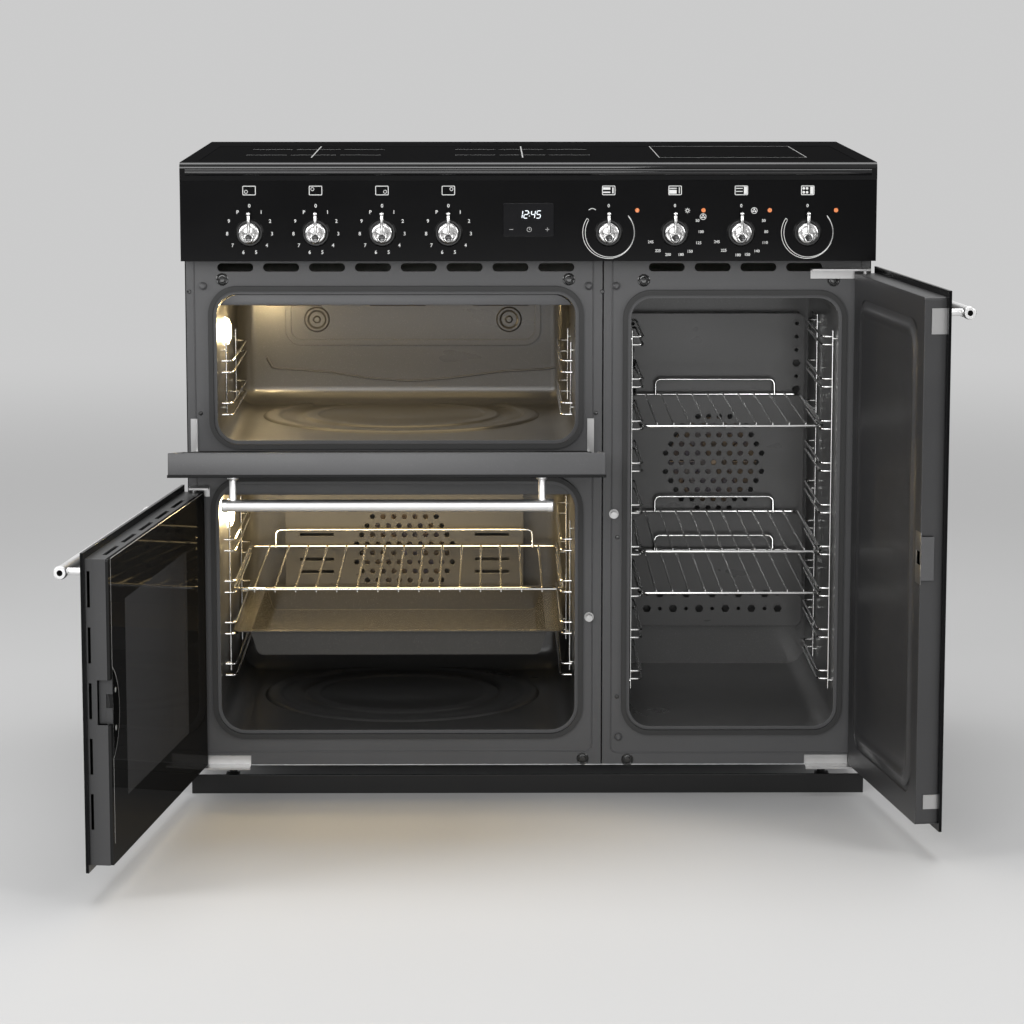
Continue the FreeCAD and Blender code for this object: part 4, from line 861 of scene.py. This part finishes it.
class COOKER_OT_dial_marks(bpy.types.Operator):
    """Prints the numerals, arcs and signs round the eight knobs"""

    bl_idname = "cooker.dial_marks"
    bl_label = "Dial marks"

    # The temperatures round the two thermostats, and their places from each knob's middle.
    heats = ("50 100 125 150 180 200 225 245", "50 80 110 140 150 180 225 245")
    heat_places = (
        ((0.0325, 0.0170), (0.0375, 0.0010), (0.0343, -0.0150), (0.0218, -0.0272), (0.0090, -0.0318),
         (-0.0095, -0.0318), (-0.0240, -0.0262), (-0.0346, -0.0136)),
        ((0.0325, 0.0170), (0.0362, 0.0010), (0.0345, -0.0146), (0.0230, -0.0268), (0.0092, -0.0318),
         (-0.0042, -0.0325), (-0.0246, -0.0258), (-0.0345, -0.0134)),
    )

    # The bars in the four pictures of the ovens: place across and up, width and height.
    oven_pictures = (
        (
            (-0.0030, 0.0027, 0.0105, 0.0035), (-0.0030, -0.0027, 0.0105, 0.0020),
            (0.0060, 0, 0.0020, 0.0085),
        ),
        (
            (-0.0030, 0.0030, 0.0105, 0.0012), (-0.0030, -0.0020, 0.0105, 0.0055),
            (0.0060, 0, 0.0012, 0.0085),
        ),
        (
            (-0.0030, 0.0028, 0.0095, 0.0012), (-0.0030, -0.0015, 0.0095, 0.0010),
            (0.0058, 0, 0.0045, 0.0105),
        ),
        ((0.0058, 0, 0.0045, 0.0105),),
    )
    ring_rise = 0.003
    ring_shifts = {"0": 0.0029, "1": -0.0012, "P": -0.0012}
    line = 0.0008
    sign_rise = 0.0605
    sign_wide, sign_tall, sign_line = 0.0190, 0.0135, 0.0010

    def ring(self, knob, marks, radius, size):
        """Numerals on a ring that lies a little above the knob's middle."""
        made = []
        for text, degrees in marks:
            a = math.radians(degrees)
            reach = radius + self.ring_shifts.get(text, 0)
            place = (knob.x + reach * math.sin(a), FASCIA_FACE, knob.z + self.ring_rise + reach * math.cos(a))
            made.append(letters(text, size, place))
        return made

    def execute(self, context):
        sizes = context.scene.cooker_sizes
        made = []
        steps = list(zip("0123456789P", (360 / 11 * k for k in range(11))))
        for knob in KNOBS[:4]:
            made += self.ring(knob, steps, sizes.dial, sizes.numeral)
        for knob in KNOBS[4:]:
            made += self.ring(knob, [("0", 0)], sizes.dial, sizes.numeral * 0.9)
        for knob, texts, places in zip(KNOBS[5:7], self.heats, self.heat_places):
            for text, (dx, dz) in zip(texts.split(), places):
                made.append(letters(text, sizes.fine_numeral, (knob.x + dx, FASCIA_FACE, knob.z + dz)))
        for knob in (KNOBS[4], KNOBS[7]):
            made.append(arc((knob.x, FASCIA_FACE, knob.z), 0.0372, 49, 304, self.line))
            made.append(arc((knob.x + 0.0017, FASCIA_FACE, knob.z), 0.0352, 50, 300, self.line))
            middle = Vector((knob.x, FASCIA_FACE, knob.z))
            outer, inner = middle + Vector((-0.0312, 0, 0.0206)), middle + Vector((-0.0286, 0, 0.0184))
            made.append(stripe(outer, inner, self.line, FORWARD))
        fitted(joined(made), "dial_print", "cooker", "white_print")
        fitted(joined(self.signs()), "sign_print", "cooker", "white_print")
        return {"FINISHED"}

    def picture_frame(self, knob):
        """The outline of the picture above a knob."""
        return frame_outline(
            (knob.x, FASCIA_FACE, knob.z + self.sign_rise), self.sign_wide, self.sign_tall, self.sign_line
        )

    def signs(self):
        """Small pictures of the hob and the ovens above the knobs, and signs beside them."""
        made = []
        y = FASCIA_FACE
        rise = self.sign_rise
        dots = ((-0.0045, -0.0018), (-0.0045, 0.002), (0.0045, -0.0018), (0.0045, 0.002))
        for knob, (dx, dz) in zip(KNOBS[:4], dots):
            z = knob.z + rise
            made.append(self.picture_frame(knob))
            made.append(arc((knob.x + dx, y, z + dz), 0.0023, 0, 360, 0.0007, steps=16))
        for knob, pictures in zip(KNOBS[4:], self.oven_pictures):
            z = knob.z + rise
            made.append(self.picture_frame(knob))
            for dx, dz, wide, tall in pictures:
                made.append(patch((knob.x + dx, y, z + dz), wide, tall))
        hob = KNOBS[7]
        for dx in (-0.0058, -0.0010):
            for dz in (-0.0028, 0.0028):
                made.append(arc((hob.x + dx, y, hob.z + rise + dz), 0.0011, 0, 360, 0.0016, steps=12))
        fan_places = [KNOBS[5] + Vector((0.0405, 0, 0.0228)), KNOBS[6] + Vector((0.0187, 0, 0.0315))]
        for place in fan_places:
            centre = (place.x, y, place.z)
            made.append(arc(centre, 0.0042, 0, 360, self.line, steps=24))
            for k in range(3):
                a = math.radians(120 * k)
                blade = (place.x + 0.0019 * math.sin(a), y, place.z + 0.0019 * math.cos(a))
                made.append(arc(blade, 0.0006, 0, 360, 0.0014, steps=12))
        star = KNOBS[5] + Vector((0.0181, 0, 0.0315))
        made.append(arc((star.x, y, star.z), 0.0020, 0, 360, self.line, steps=20))
        for k in range(8):
            way = clock_way(45 * k)
            foot = Vector((star.x, y, star.z)) + way * 0.0026
            made.append(stripe(foot, foot + way * 0.0013, 0.0007, FORWARD))
        brow = KNOBS[4] + Vector((-0.0235, 0, 0.0275))
        made.append(arc((brow.x, y, brow.z), 0.0070, -45, 45, 0.0009, steps=16))
        return made


class COOKER_OT_display(bpy.types.Operator):
    """Lights the clock's digits and prints the keys under them"""

    bl_idname = "cooker.display"
    bl_label = "Display"

    lit = {"1": "bc", "2": "abged", "4": "fgbc", "5": "afgcd"}
    ends = {
        "a": ((0, 1), (1, 1)), "b": ((1, 1), (1, 0.5)), "c": ((1, 0.5), (1, 0)), "d": ((0, 0), (1, 0)),
        "e": ((0, 0.5), (0, 0)), "f": ((0, 1), (0, 0.5)), "g": ((0, 0.5), (1, 0.5)),
    }
    wide, tall, slant, bar = 0.0054, 0.0105, 0.0016, 0.0012
    key_long, key_line = 0.0055, 0.0006

    def digit(self, text, x, z, y):
        """One digit of slanted bars."""
        bars = []
        for name in self.lit[text]:
            spots = []
            for u, v in self.ends[name]:
                across = (u - 0.5) * self.wide + (v - 0.5) * self.slant
                spots.append(Vector((x + across, y, z + (v - 0.5) * self.tall)))
            inset = (spots[1] - spots[0]) * 0.08
            bars.append(stripe(spots[0] + inset, spots[1] - inset, self.bar, FORWARD))
        return bars

    def execute(self, context):
        low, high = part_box("display_window")
        y = low.y
        middle = (low.x + high.x) / 2
        z = high.z - 0.0195
        bars = []
        for text, dx in zip("1245", (-0.0125, -0.0045, 0.0055, 0.0135)):
            bars += self.digit(text, middle + dx + 0.001, z, y)
        for dz in (-0.0022, 0.0022):
            bars.append(patch((middle + 0.0013, y, z + dz), 0.0011, 0.0011))
        fitted(joined(bars), "clock_digits", "cooker", "display_digits")
        keys = []
        z = low.z + 0.0130
        long, line = self.key_long, self.key_line
        keys.append(patch((middle - 0.0250, y, z), long, line))
        keys.append(patch((middle + 0.0270, y, z), long, line))
        keys.append(patch((middle + 0.0270, y, z), line, long))
        clock = (middle + 0.0010, y, z)
        keys.append(arc(clock, 0.0032, 0, 360, line, steps=24))
        for hand in ((middle + 0.0010, y, z + 0.0022), (middle + 0.0026, y, z)):
            keys.append(stripe(clock, hand, line, FORWARD))
        fitted(joined(keys), "key_print", "cooker", "hob_print")
        return {"FINISHED"}


class COOKER_OT_shelves(bpy.types.Operator):
    """Bends the wire shelves, each a closed frame with cross wires and a raised guard at its rear"""

    bl_idname = "cooker.shelves"
    bl_label = "Shelves"

    seat = 0.0025
    guard_inset = 0.040

    def shelf(self, node, pitch, nub, lift, sizes):
        """One shelf in the place of its plain wires; the cross wires' ends stand out at the front wire."""
        low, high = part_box(node)
        thick, thin = sizes.thick_wire, sizes.thin_wire
        z = low.z + self.seat
        x0, x1 = low.x + thick, high.x - thick
        y0, y1 = low.y + thick, high.y - thick
        middle = (x0 + x1) / 2
        loop = [(middle, y0), (x1, y0), (x1, y1), (x0, y1), (x0, y0), (middle, y0)]
        parts = [wire([(x, y, z) for x, y in loop], thick, 0.012)]
        left, right = x0 + self.guard_inset, x1 - self.guard_inset
        crest = high.z - thin + lift
        foot_y, crest_y = y1 - 0.010, y1 - 0.004
        guard = [(left, foot_y, z), (left, crest_y, crest), (right, crest_y, crest), (right, foot_y, z)]
        parts.append(wire(guard, thick * 0.85, 0.008))
        count = round((x1 - x0) / pitch) - 1
        gap = (x1 - x0) / (count + 1)
        x, crown = x0 + gap, z + thin
        first = wire([(x, y0, z + nub), (x, y0, crown), (x, y1, crown)], thin, 0.0009)
        parts.append(copies(first, [(gap * k, 0, 0) for k in range(count)]))
        fitted(joined(parts), node + "_wires", node + "_body", "bright_wire", [node])

    def execute(self, context):
        sizes = context.scene.cooker_sizes
        self.shelf("main_shelf", 0.031, -0.0044, 0.005, sizes)
        for name in ("upper", "middle", "lower"):
            self.shelf("tall_shelf_" + name, 0.0236, 0.0048, 0.002, sizes)
        return {"FINISHED"}


class COOKER_OT_racks(bpy.types.Operator):
    """Bends the side racks: uprights on the walls and looped pairs of runners"""

    bl_idname = "cooker.racks"
    bl_label = "Racks"

    pitch = 0.0626  # from one level to the next
    front = 0.045  # where the runners begin
    stand_off, reach_off = 0.0035, 0.0195  # from the wall to the uprights and to the runners
    plans = {
        "main": {"first": 0.169, "count": 4, "gap": 0.017, "back": 0.400, "top": 0.385, "bottom": 0.155,
                 "post": 0.150},
        "grill": {"first": 0.560, "count": 2, "gap": 0.017, "back": 0.330, "top": 0.658, "bottom": 0.548,
                  "post": 0.130},
        "tall": {"first": 0.1624, "count": 9, "gap": 0.012, "back": 0.290, "top": 0.684, "bottom": 0.148,
                 "post": 0.045},
    }

    def rack(self, wall, side, thin, first, count, gap, back, top, bottom, post):
        """One rack: two uprights, a looped runner for each wire of a pair, and pegs into the wall."""
        stand, reach = wall + side * self.stand_off, wall + side * self.reach_off
        posts = (post, back - 0.004)
        parts = [wire([(stand, y, bottom), (stand, y, top)], thin) for y in posts]
        ends = ((stand, self.front), (reach, self.front), (reach, back), (stand, back))
        runner = wire([(x, y, first) for x, y in ends], thin, 0.007)
        steps = [(0, 0, level * self.pitch + lift) for level in range(count) for lift in (0, gap)]
        parts.append(copies(runner, steps))
        for z in (bottom + 0.012, top - 0.012):
            parts += [wire([(wall, y, z), (stand, y, z)], thin * 1.2) for y in posts]
        return parts

    def execute(self, context):
        thin = context.scene.cooker_sizes.thin_wire
        for oven, plan in self.plans.items():
            low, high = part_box(oven + "_cavity")
            parts = []
            for wall, side in ((low.x + SHEET, 1), (high.x - SHEET, -1)):
                parts += self.rack(wall, side, thin, **plan)
            fitted(joined(parts), oven + "_rack_wires", "cooker", "bright_wire", [oven + "_side_racks"])
        return {"FINISHED"}


class COOKER_OT_pressings(bpy.types.Operator):
    """Presses the rings of the oven floors and the bead of the grill oven's back, and folds the baffles"""

    bl_idname = "cooker.pressings"
    bl_label = "Pressings"

    # Radius and height of the two rings, from the outside in.
    rings = (
        (0.2130, 0.0001), (0.2112, 0.0012), (0.2090, 0.0025), (0.2060, 0.0030), (0.1910, 0.0030),
        (0.1880, 0.0025), (0.1858, 0.0012), (0.1840, 0.0004), (0.1530, 0.0004), (0.1512, 0.0012),
        (0.1490, 0.0023), (0.1462, 0.0027), (0.1310, 0.0027), (0.1282, 0.0023), (0.1260, 0.0012),
        (0.1242, 0.0004), (0.0300, 0.0004),
    )
    # Places along the bead, across and up.
    wave_spots = (
        (-0.4080, 0.6020), (-0.3990, 0.5850), (-0.3500, 0.5815), (-0.3100, 0.5785), (-0.2470, 0.5685),
        (-0.1830, 0.5640), (-0.1190, 0.5685), (-0.0400, 0.5790), (0.0330, 0.5830), (0.0560, 0.5870),
        (0.0610, 0.6180),
    )

    def execute(self, context):
        for oven, ratio, y in (("main", 0.80, 0.266), ("grill", 0.53, 0.290)):
            low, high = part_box(oven + "_cavity")
            place = ((low.x + high.x) / 2, y, low.z + SHEET)
            piece = turned(self.rings, place, (0, 0, 1), 96, (1, ratio, 1), closed=False)
            fitted(piece, oven + "_floor_pressing", "cooker", "oven_enamel")
        fitted(self.wave(), "grill_back_wave", "cooker", "oven_enamel")
        for oven, foot in (("main", 0.4465), ("grill", 0.7255)):
            low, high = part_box(oven + "_cavity")
            fitted(self.baffle(low, high, foot), oven + "_baffle", "cooker", "satin_enamel")
        return {"FINISHED"}

    def wave(self):
        """The bead that dips along the foot of the grill oven's back."""
        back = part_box("grill_cavity")[1].y - SHEET
        return wire([(x, back, z) for x, z in self.wave_spots], 0.0018, 0.008)

    def baffle(self, low, high, foot):
        """A folded strip that hangs behind the top of an oven's mouth, between the rounded corners."""
        margin = SHEET + 0.0004
        wide, tall = high.x - low.x - 2 * margin, high.z - low.z - 2 * margin
        plate(((low.x + high.x) / 2, 0.0060, (low.z + high.z) / 2), wide, tall)
        bpy.ops.mesh.bevel(offset=0.034, segments=8, affect="VERTICES")
        select_all()
        bpy.ops.mesh.bisect(plane_co=(0, 0, foot), plane_no=(0, 0, 1), clear_inner=True)
        select_all()
        extrude((0, 0.0100, 0))
        bpy.ops.object.mode_set(mode="OBJECT")
        soften(0.0035)
        return settle()


class COOKER_OT_knobs(bpy.types.Operator):
    """Turns the knobs' stepped caps and shapes their levers with a hub below the middle"""

    bl_idname = "cooker.knobs"
    bl_label = "Knobs"

    # Radius and distance behind a knob's crown, or behind its top.
    cap_rim = (
        (0.0149, 0.0030), (0.0146, 0.0018), (0.0138, 0.0009), (0.0126, 0.0005), (0.0110, 0.0005),
        (0.0107, 0.0010), (0.0105, 0.0018), (0.0099, 0.0020), (0.0094, 0.0018), (0.0091, 0.0008),
        (0.0087, 0.0001), (0.0080, -0.0002), (0.0010, -0.0004),
    )
    hub_rim = (
        (0.0074, 0.0022), (0.0071, 0.0010), (0.0063, 0.0003), (0.0054, 0), (0.0048, 0.0003),
        (0.0045, 0.0010), (0.0044, 0.0024), (0.0010, 0.0026),
    )
    bead_rim = ((0.0029, 0.0020), (0.0026, 0.0010), (0.0018, 0.0004), (0.0005, 0.0002))
    dish_rim = ((0.0043, 0.0020), (0.0040, 0.0014), (0.0010, 0.0018))
    lever_high = 0.008
    hub_drop = 0.006
    lever_half, lever_low, lever_tip = 0.0023, 0.0010, 0.0282

    def knob(self, number, middle):
        """One knob in the place of its plain cap and lever."""
        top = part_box(f"knob_{number}")[0].y
        crown = top + self.lever_high
        root = crown + 0.0010
        face = FASCIA_FACE - 0.0004
        cap = [(0.0020, face), (0.0149, face)] + behind(self.cap_rim, crown)
        hub = [(0.0074, root)] + behind(self.hub_rim, top)
        bead = [(0.0029, root)] + behind(self.bead_rim, top)
        hub_place = (middle.x, 0, middle.z - self.hub_drop)
        lever = block((middle.x - self.lever_half, top + 0.0009, middle.z - self.lever_low),
                      (middle.x + self.lever_half, root, middle.z + self.lever_tip), 0.0014)
        pieces = [
            turned(cap, (middle.x, 0, middle.z), sides=48),
            turned(hub, hub_place, sides=32),
            turned(bead, (middle.x, 0, middle.z + 0.0281), sides=24),
            lever,
        ]
        node, body = f"knob_{number}", f"knob_{number}_body"
        fitted(joined(pieces), node + "_turned", body, "turned_steel", [node])
        fitted(turned(behind(self.dish_rim, top), hub_place, sides=24), node + "_dot", body, "gloss_plastic")

    def execute(self, context):
        for number, middle in enumerate(KNOBS, 1):
            self.knob(number, middle)
        return {"FINISHED"}


class COOKER_OT_trim(bpy.types.Operator):
    """Adds the screws, pins and rolled beads of the front frames"""

    bl_idname = "cooker.trim"
    bl_label = "Trim"

    screw_places = ((-0.444, 0.7636), (0.0592, 0.7636), (0.168, 0.7620), (0.4435, 0.7620), (0.1476, 0.0496),
                    (0.0813, 0.0510))
    screw_head = ((0.0001, -0.0026), (0.0036, -0.0024), (0.0046, -0.0016), (0.0050, -0.0002), (0.0062, 0.0000),
                  (0.0068, -0.0010), (0.0080, -0.0016), (0.0090, -0.0010), (0.0092, 0.0004))
    pin_places = ((-0.4922, 0.7460), (0.1078, 0.7460), (0.1314, 0.3838), (0.1314, 0.1450), (-0.4779, 0.5680),
                  (0.0990, 0.5680))
    pin_head = ((0.0001, -0.0016), (0.0024, -0.0014), (0.0031, -0.0008), (0.0032, 0.0002))
    bead_top = 0.790

    def heads(self, profile, places, sides, name):
        """One turned head, copied to its places on the frames."""
        first = turned(profile, (0, FRAME_FACE, 0), sides=sides)
        fitted(copies(first, [(x, 0, z) for x, z in places]), name, "cooker", "gloss_plastic")

    def execute(self, context):
        self.heads(self.screw_head, self.screw_places, 28, "frame_screws")
        self.heads(self.pin_head, self.pin_places, 20, "frame_pins")
        for side, x0, x1, foot in (("left", -0.4850, 0.0946, 0.0625), ("right", 0.1226, 0.4850, 0.0600)):
            corners = ((x0, self.bead_top), (x0, foot), (x1, foot), (x1, self.bead_top))
            path = [(x, FRAME_FACE, z) for x, z in corners]
            fitted(wire(path, 0.0010, 0.010), f"frame_{side}_bead", "cooker", "satin_enamel")
        return {"FINISHED"}


class COOKER_OT_door_details(bpy.types.Operator):
    """Presses the tall door's liner and adds the catches, edges and bar ends of the doors"""

    bl_idname = "cooker.door_details"
    bl_label = "Door details"

    joints = {"main_door": "main_door_swing", "tall_door": "tall_door_swing", "grill_door": "grill_door_drop"}
    # Width and rise of the panel's border, from the outside in. The outer lip stays flat over the oven's
    # seal, and the border rises inside it.
    border = (
        (0.002, 0.0004), (0.0063, 0.0003), (0.0022, 0.0022), (0.0023, 0.0016), (0.003, 0.0),
        (0.0025, -0.0006), (0.003, -0.0016), (0.0025, -0.0008),
    )

    def hang(self, piece, name, door, finish):
        """Hangs a piece that was made on the closed door."""
        fitted(swung(piece, self.joints[door]), name, door, finish)

    def panel(self):
        """The tall door's pressed panel: a plate with its border drawn out in soft steps."""
        x0, x1, z0, z1 = 0.1440, 0.4640, 0.0875, 0.7400
        centre = ((x0 + x1) / 2, LINER_FACE - 0.0002, (z0 + z1) / 2)
        plate(centre, x1 - x0, z1 - z0, FACING_BACK)
        bpy.ops.mesh.bevel(offset=0.0435, segments=8, affect="VERTICES")
        select_all()
        for thickness, depth in self.border:
            bpy.ops.mesh.inset(thickness=thickness, depth=depth)
        self.hang(settle(60), "tall_liner_panel", "tall_door", "door_liner")

    def lens_plate(self, radius, thick):
        """The part of a disc that lies on the main door's pane, with its middle beyond the free edge."""
        clear_bench()
        bpy.ops.mesh.primitive_circle_add(
            vertices=96, radius=radius, fill_type="NGON", location=(0.1179, PANE_FACE, 0.250),
            rotation=FACING_FRONT
        )
        shape()
        bpy.ops.mesh.bisect(plane_co=(0.0822, 0, 0), plane_no=(1, 0, 0), clear_outer=True)
        select_all()
        extrude((0, thick, 0))
        return settle()

    def screw(self, x, z, y, radius):
        """A small pan-head screw on a door's inner face."""
        rim = [(radius, -0.0004), (radius, 0.0002)]
        crown = [(radius * 0.8, 0.0005), (radius * 0.4, 0.0006), (0.0001, 0.0004)]
        return turned(rim + crown, (x, y, z), sides=20)

    def blocks(self, x_spans, y0, y1, z_spans, rounding=0.0):
        """Blocks of one depth, one for each pair of a span across and a span upward."""
        pairs = zip(x_spans, z_spans)
        return [block((x0, y0, z0), (x1, y1, z1), rounding) for (x0, x1), (z0, z1) in pairs]

    def main_door(self):
        """The main door's catch, with a near-black plate of painted shade in its recess, its screws and cover,
        and a painted highlight along the edge of its pane.
        """
        door = "main_door"
        self.hang(self.lens_plate(0.0704, 0.0003), "main_catch_rim", door, "hob_print")
        # Painted shade: a near-black plate on the pane stands for the shade in the catch's recess.
        self.hang(self.lens_plate(0.0689, 0.0005), "main_catch_recess_shade", door, "slot_shadow")
        screws = [self.screw(0.0690, z, PANE_FACE + 0.0004, 0.0036) for z in (0.2274, 0.2780)]
        self.hang(joined(screws), "main_catch_screws", door, "satin_bar")
        edge = (0.0834, 0.0840)
        cover = self.blocks([edge], COVER_FRONT, -0.0156, [(0.2353, 0.2953)])
        cover += self.blocks([edge, edge], -0.0157, -0.0072, [(0.2353, 0.2560), (0.2748, 0.2953)])
        self.hang(joined(cover), "main_catch_cover", door, "door_enamel")
        x, top = 0.0832, 0.4543
        ends = (((x, 0.0750), (x, 0.1890)), ((x, 0.3110), (x, 0.4540)), ((x, top), (-0.4780, top)))
        # Painted highlight: thin pale lines along the free edge and the top of the pane.
        lines = [
            stripe((x0, PANE_FACE, z0), (x1, PANE_FACE, z1), 0.0012, (0, 1, 0)) for (x0, z0), (x1, z1) in ends
        ]
        self.hang(joined(lines), "main_pane_edge_highlight", door, "hob_print")

    def tall_door(self):
        """The pressed panel of the tall door, and the plate and cover of its catch."""
        self.panel()
        door = "tall_door"
        x_spans = [(0.1128, 0.1400), (0.1128, 0.1400), (0.1128, 0.1175), (0.1348, 0.1400)]
        z_spans = [(0.3830, 0.4095), (0.4280, 0.4545), (0.4090, 0.4285), (0.4090, 0.4285)]
        catch = self.blocks(x_spans, LINER_FACE, LINER_FACE + 0.0005, z_spans, 0.0002)
        catch += [self.screw(0.1262, z, LINER_FACE + 0.0003, 0.0028) for z in (0.3900, 0.4475)]
        self.hang(joined(catch), "tall_catch_plate", door, "bracket_steel")
        cover = block((0.1120, COVER_FRONT, 0.3888), (0.1126, -0.0072, 0.4488))
        self.hang(cover, "tall_catch_cover", door, "satin_enamel")

    def grill_door(self):
        """The folded edge right round the drop door."""
        left, right = (-0.4990, -0.4955), (0.0995, 0.1030)
        x_spans = [(left[0], right[1]), left, right]
        z_spans = [(0.7776, 0.7826), (0.5250, 0.7820), (0.5250, 0.7820)]
        drop = self.blocks(x_spans, -0.0385, FRAME_FACE - 0.0078, z_spans, 0.0012)
        self.hang(joined(drop), "grill_door_edge", "grill_door", "satin_enamel")

    def bar_ends(self):
        """Near-black discs of painted shade on the ends of the bar handles, where the holes show dark."""
        bars = (("main", -0.455, 0.059, 0.429), ("tall", 0.153, 0.455, 0.748), ("grill", -0.428, 0.032, 0.748))
        socket = [(0.0040, 0.0), (0.0038, 0.0002), (0.0020, 0.0002), (0.0002, 0.0001)]
        for door, x0, x1, z in bars:
            # Painted shade: a thin near-black disc on each end of a bar.
            shade_discs = [turned(socket, (x, BAR_LINE, z), (side, 0, 0), 24) for x, side in ((x0, -1), (x1, 1))]
            self.hang(joined(shade_discs), door + "_bar_end_shade", door + "_door", "slot_shadow")

    def execute(self, context):
        self.tall_door()
        self.main_door()
        self.grill_door()
        self.bar_ends()
        return {"FINISHED"}


class COOKER_OT_studio(bpy.types.Operator):
    """Sets the floor, the lamps, the surroundings and the camera"""

    bl_idname = "cooker.studio"
    bl_label = "Studio"

    def area(self, name, place, target, size, energy, tone=(1, 1, 1)):
        """A soft lamp that points at a target."""
        way = Vector(target) - Vector(place)
        bpy.ops.object.light_add(type="AREA", location=place, rotation=way.to_track_quat("-Z", "Y").to_euler())
        lamp = bpy.context.object
        lamp.name = name
        lamp.data.shape = "RECTANGLE"
        lamp.data.size, lamp.data.size_y = size
        lamp.data.energy = energy
        lamp.data.color = tone

    def execute(self, context):
        studio = context.scene.cooker_studio
        clear_bench()
        self.floor(studio)
        self.area("front_lamp", (-0.9, -4.4, 1.9), (0, 0, 0.4), (2.6, 1.8), studio.key)
        self.area("low_lamp", (-0.1, -3.2, 0.32), (-0.1, 0, 0.16), (1.8, 0.4), studio.low)
        self.area("right_lamp", (3.2, -2.4, 2.0), (0.1, 0, 0.4), (1.6, 2.2), studio.fill)
        self.area("left_lamp", (-3.4, -1.6, 2.0), (-0.1, 0, 0.4), (1.6, 2.2), studio.fill)
        self.area("top_lamp", (0, 0.6, 3.6), (0, 0.1, 0.5), (3.0, 2.4), studio.top)
        self.oven_lamps(studio, context.scene.cooker_colours.lamp_light)
        self.surroundings(context.scene, studio)
        self.camera(context.scene, studio)
        return {"FINISHED"}

    def oven_lamps(self, studio, tone):
        """A soft warm light under the roof of each left oven, and a small one before its lamp glass."""
        low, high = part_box("oven_lamps")
        x, y = -0.192, 0.24
        for name, z, share in (("grill_glow", 0.712, 0.18), ("main_glow", 0.456, 1.0)):
            self.area(name, (x, y, z), (x, y, 0), (0.40, 0.24), studio.oven_glow * share, tone)
        for name, z in (("grill_lamp", high.z - 0.022), ("main_lamp", low.z + 0.022)):
            bpy.ops.object.light_add(type="POINT", location=(high.x + 0.030, (low.y + high.y) / 2, z))
            lamp = bpy.context.object
            lamp.name = name
            lamp.data.energy = studio.oven_lamp
            lamp.data.color = tone
            lamp.data.shadow_soft_size = 0.012

    def floor(self, studio):
        """A pale floor that keeps the shadow and fades far off into the background."""
        bpy.ops.mesh.primitive_plane_add(size=60, location=(0, 0, -0.0002))
        floor = bpy.context.object
        floor.name = "studio_floor"
        shade = Finish("pale_floor", None, (0.52, 0.52, 0.52), 0.8)
        cloud = shade.noise(0.7, 3)
        shade.set(Base_Color=shade.blend(cloud, (0.50, 0.50, 0.50), (0.54, 0.54, 0.54)))
        distance = shade.node("ShaderNodeVectorMath", {"operation": "LENGTH"}, {0: shade.coordinates}, "Value")
        far_off = shade.band(distance, 1.6, 6.0) * shade.node("ShaderNodeLightPath", out="Is Camera Ray")
        paper = shade.node("ShaderNodeEmission", values={"Color": (*studio.backdrop, 1), "Strength": 1.0})
        body = Shade(shade, shade.shader.outputs[0])
        mixed = shade.node("ShaderNodeMixShader", values={0: far_off, 1: body, 2: paper})
        output = next(n for n in shade.tree.nodes if n.type == "OUTPUT_MATERIAL")
        shade.join(mixed, output.inputs["Surface"])
        floor.data.materials.append(shade.material)

    def surroundings(self, scene, studio):
        """A pale backdrop for the camera and for reflections, and a softer light from all round."""
        scene.world = bpy.data.worlds.new("studio_world")
        scene.world.use_nodes = True
        sky = Pattern(scene.world.node_tree)
        seen = sky.node("ShaderNodeLightPath", out="Is Camera Ray")
        for name in ("Is Glossy Ray", "Is Transmission Ray"):
            seen = seen.at_least(sky.node("ShaderNodeLightPath", out=name))
        tone = sky.blend(seen, [studio.world] * 3, studio.backdrop)
        sky.join(tone, sky.tree.nodes["Background"].inputs[0])

    def camera(self, scene, studio):
        """The camera at the photograph's viewing angle."""
        turn = (math.pi / 2 - studio.pitch, 0, -studio.yaw)
        bpy.ops.object.camera_add(location=studio.camera_place, rotation=turn)
        camera = bpy.context.object
        camera.name = "studio_camera"
        camera.data.lens = studio.lens
        camera.data.sensor_width = 36
        camera.data.clip_end = 100
        scene.camera = camera
        scene.view_settings.view_transform = "Standard"


OPERATORS = (
    COOKER_OT_finishes,
    COOKER_OT_hob_marks,
    COOKER_OT_dial_marks,
    COOKER_OT_display,
    COOKER_OT_shelves,
    COOKER_OT_racks,
    COOKER_OT_pressings,
    COOKER_OT_knobs,
    COOKER_OT_trim,
    COOKER_OT_door_details,
    COOKER_OT_studio,
)


class COOKER_PT_panel(bpy.types.Panel):
    """The cooker's settings and its operators"""

    bl_label = "Cooker"
    bl_idname = "COOKER_PT_panel"
    bl_space_type = "VIEW_3D"
    bl_region_type = "UI"
    bl_category = "Cooker"

    def draw(self, context):
        for operator in OPERATORS:
            self.layout.operator(operator.bl_idname)
        for settings in (context.scene.cooker_colours, context.scene.cooker_sizes, context.scene.cooker_studio):
            for name in settings.bl_rna.properties.keys():
                if name not in ("rna_type", "name"):
                    self.layout.prop(settings, name)


SETTINGS = {"cooker_colours": CookerColours, "cooker_sizes": CookerSizes, "cooker_studio": StudioSettings}


def register():
    for settings in SETTINGS.values():
        bpy.utils.register_class(settings)
    for kind in (*OPERATORS, COOKER_PT_panel):
        bpy.utils.register_class(kind)
    for name, settings in SETTINGS.items():
        setattr(bpy.types.Scene, name, bpy.props.PointerProperty(type=settings))


def unregister():
    for name in SETTINGS:
        delattr(bpy.types.Scene, name)
    for kind in (COOKER_PT_panel, *reversed(OPERATORS), *reversed(SETTINGS.values())):
        bpy.utils.unregister_class(kind)


def main():
    register()
    for operator in OPERATORS:
        area, name = operator.bl_idname.split(".")
        getattr(getattr(bpy.ops, area), name)()


if __name__ == "__main__":
    main()
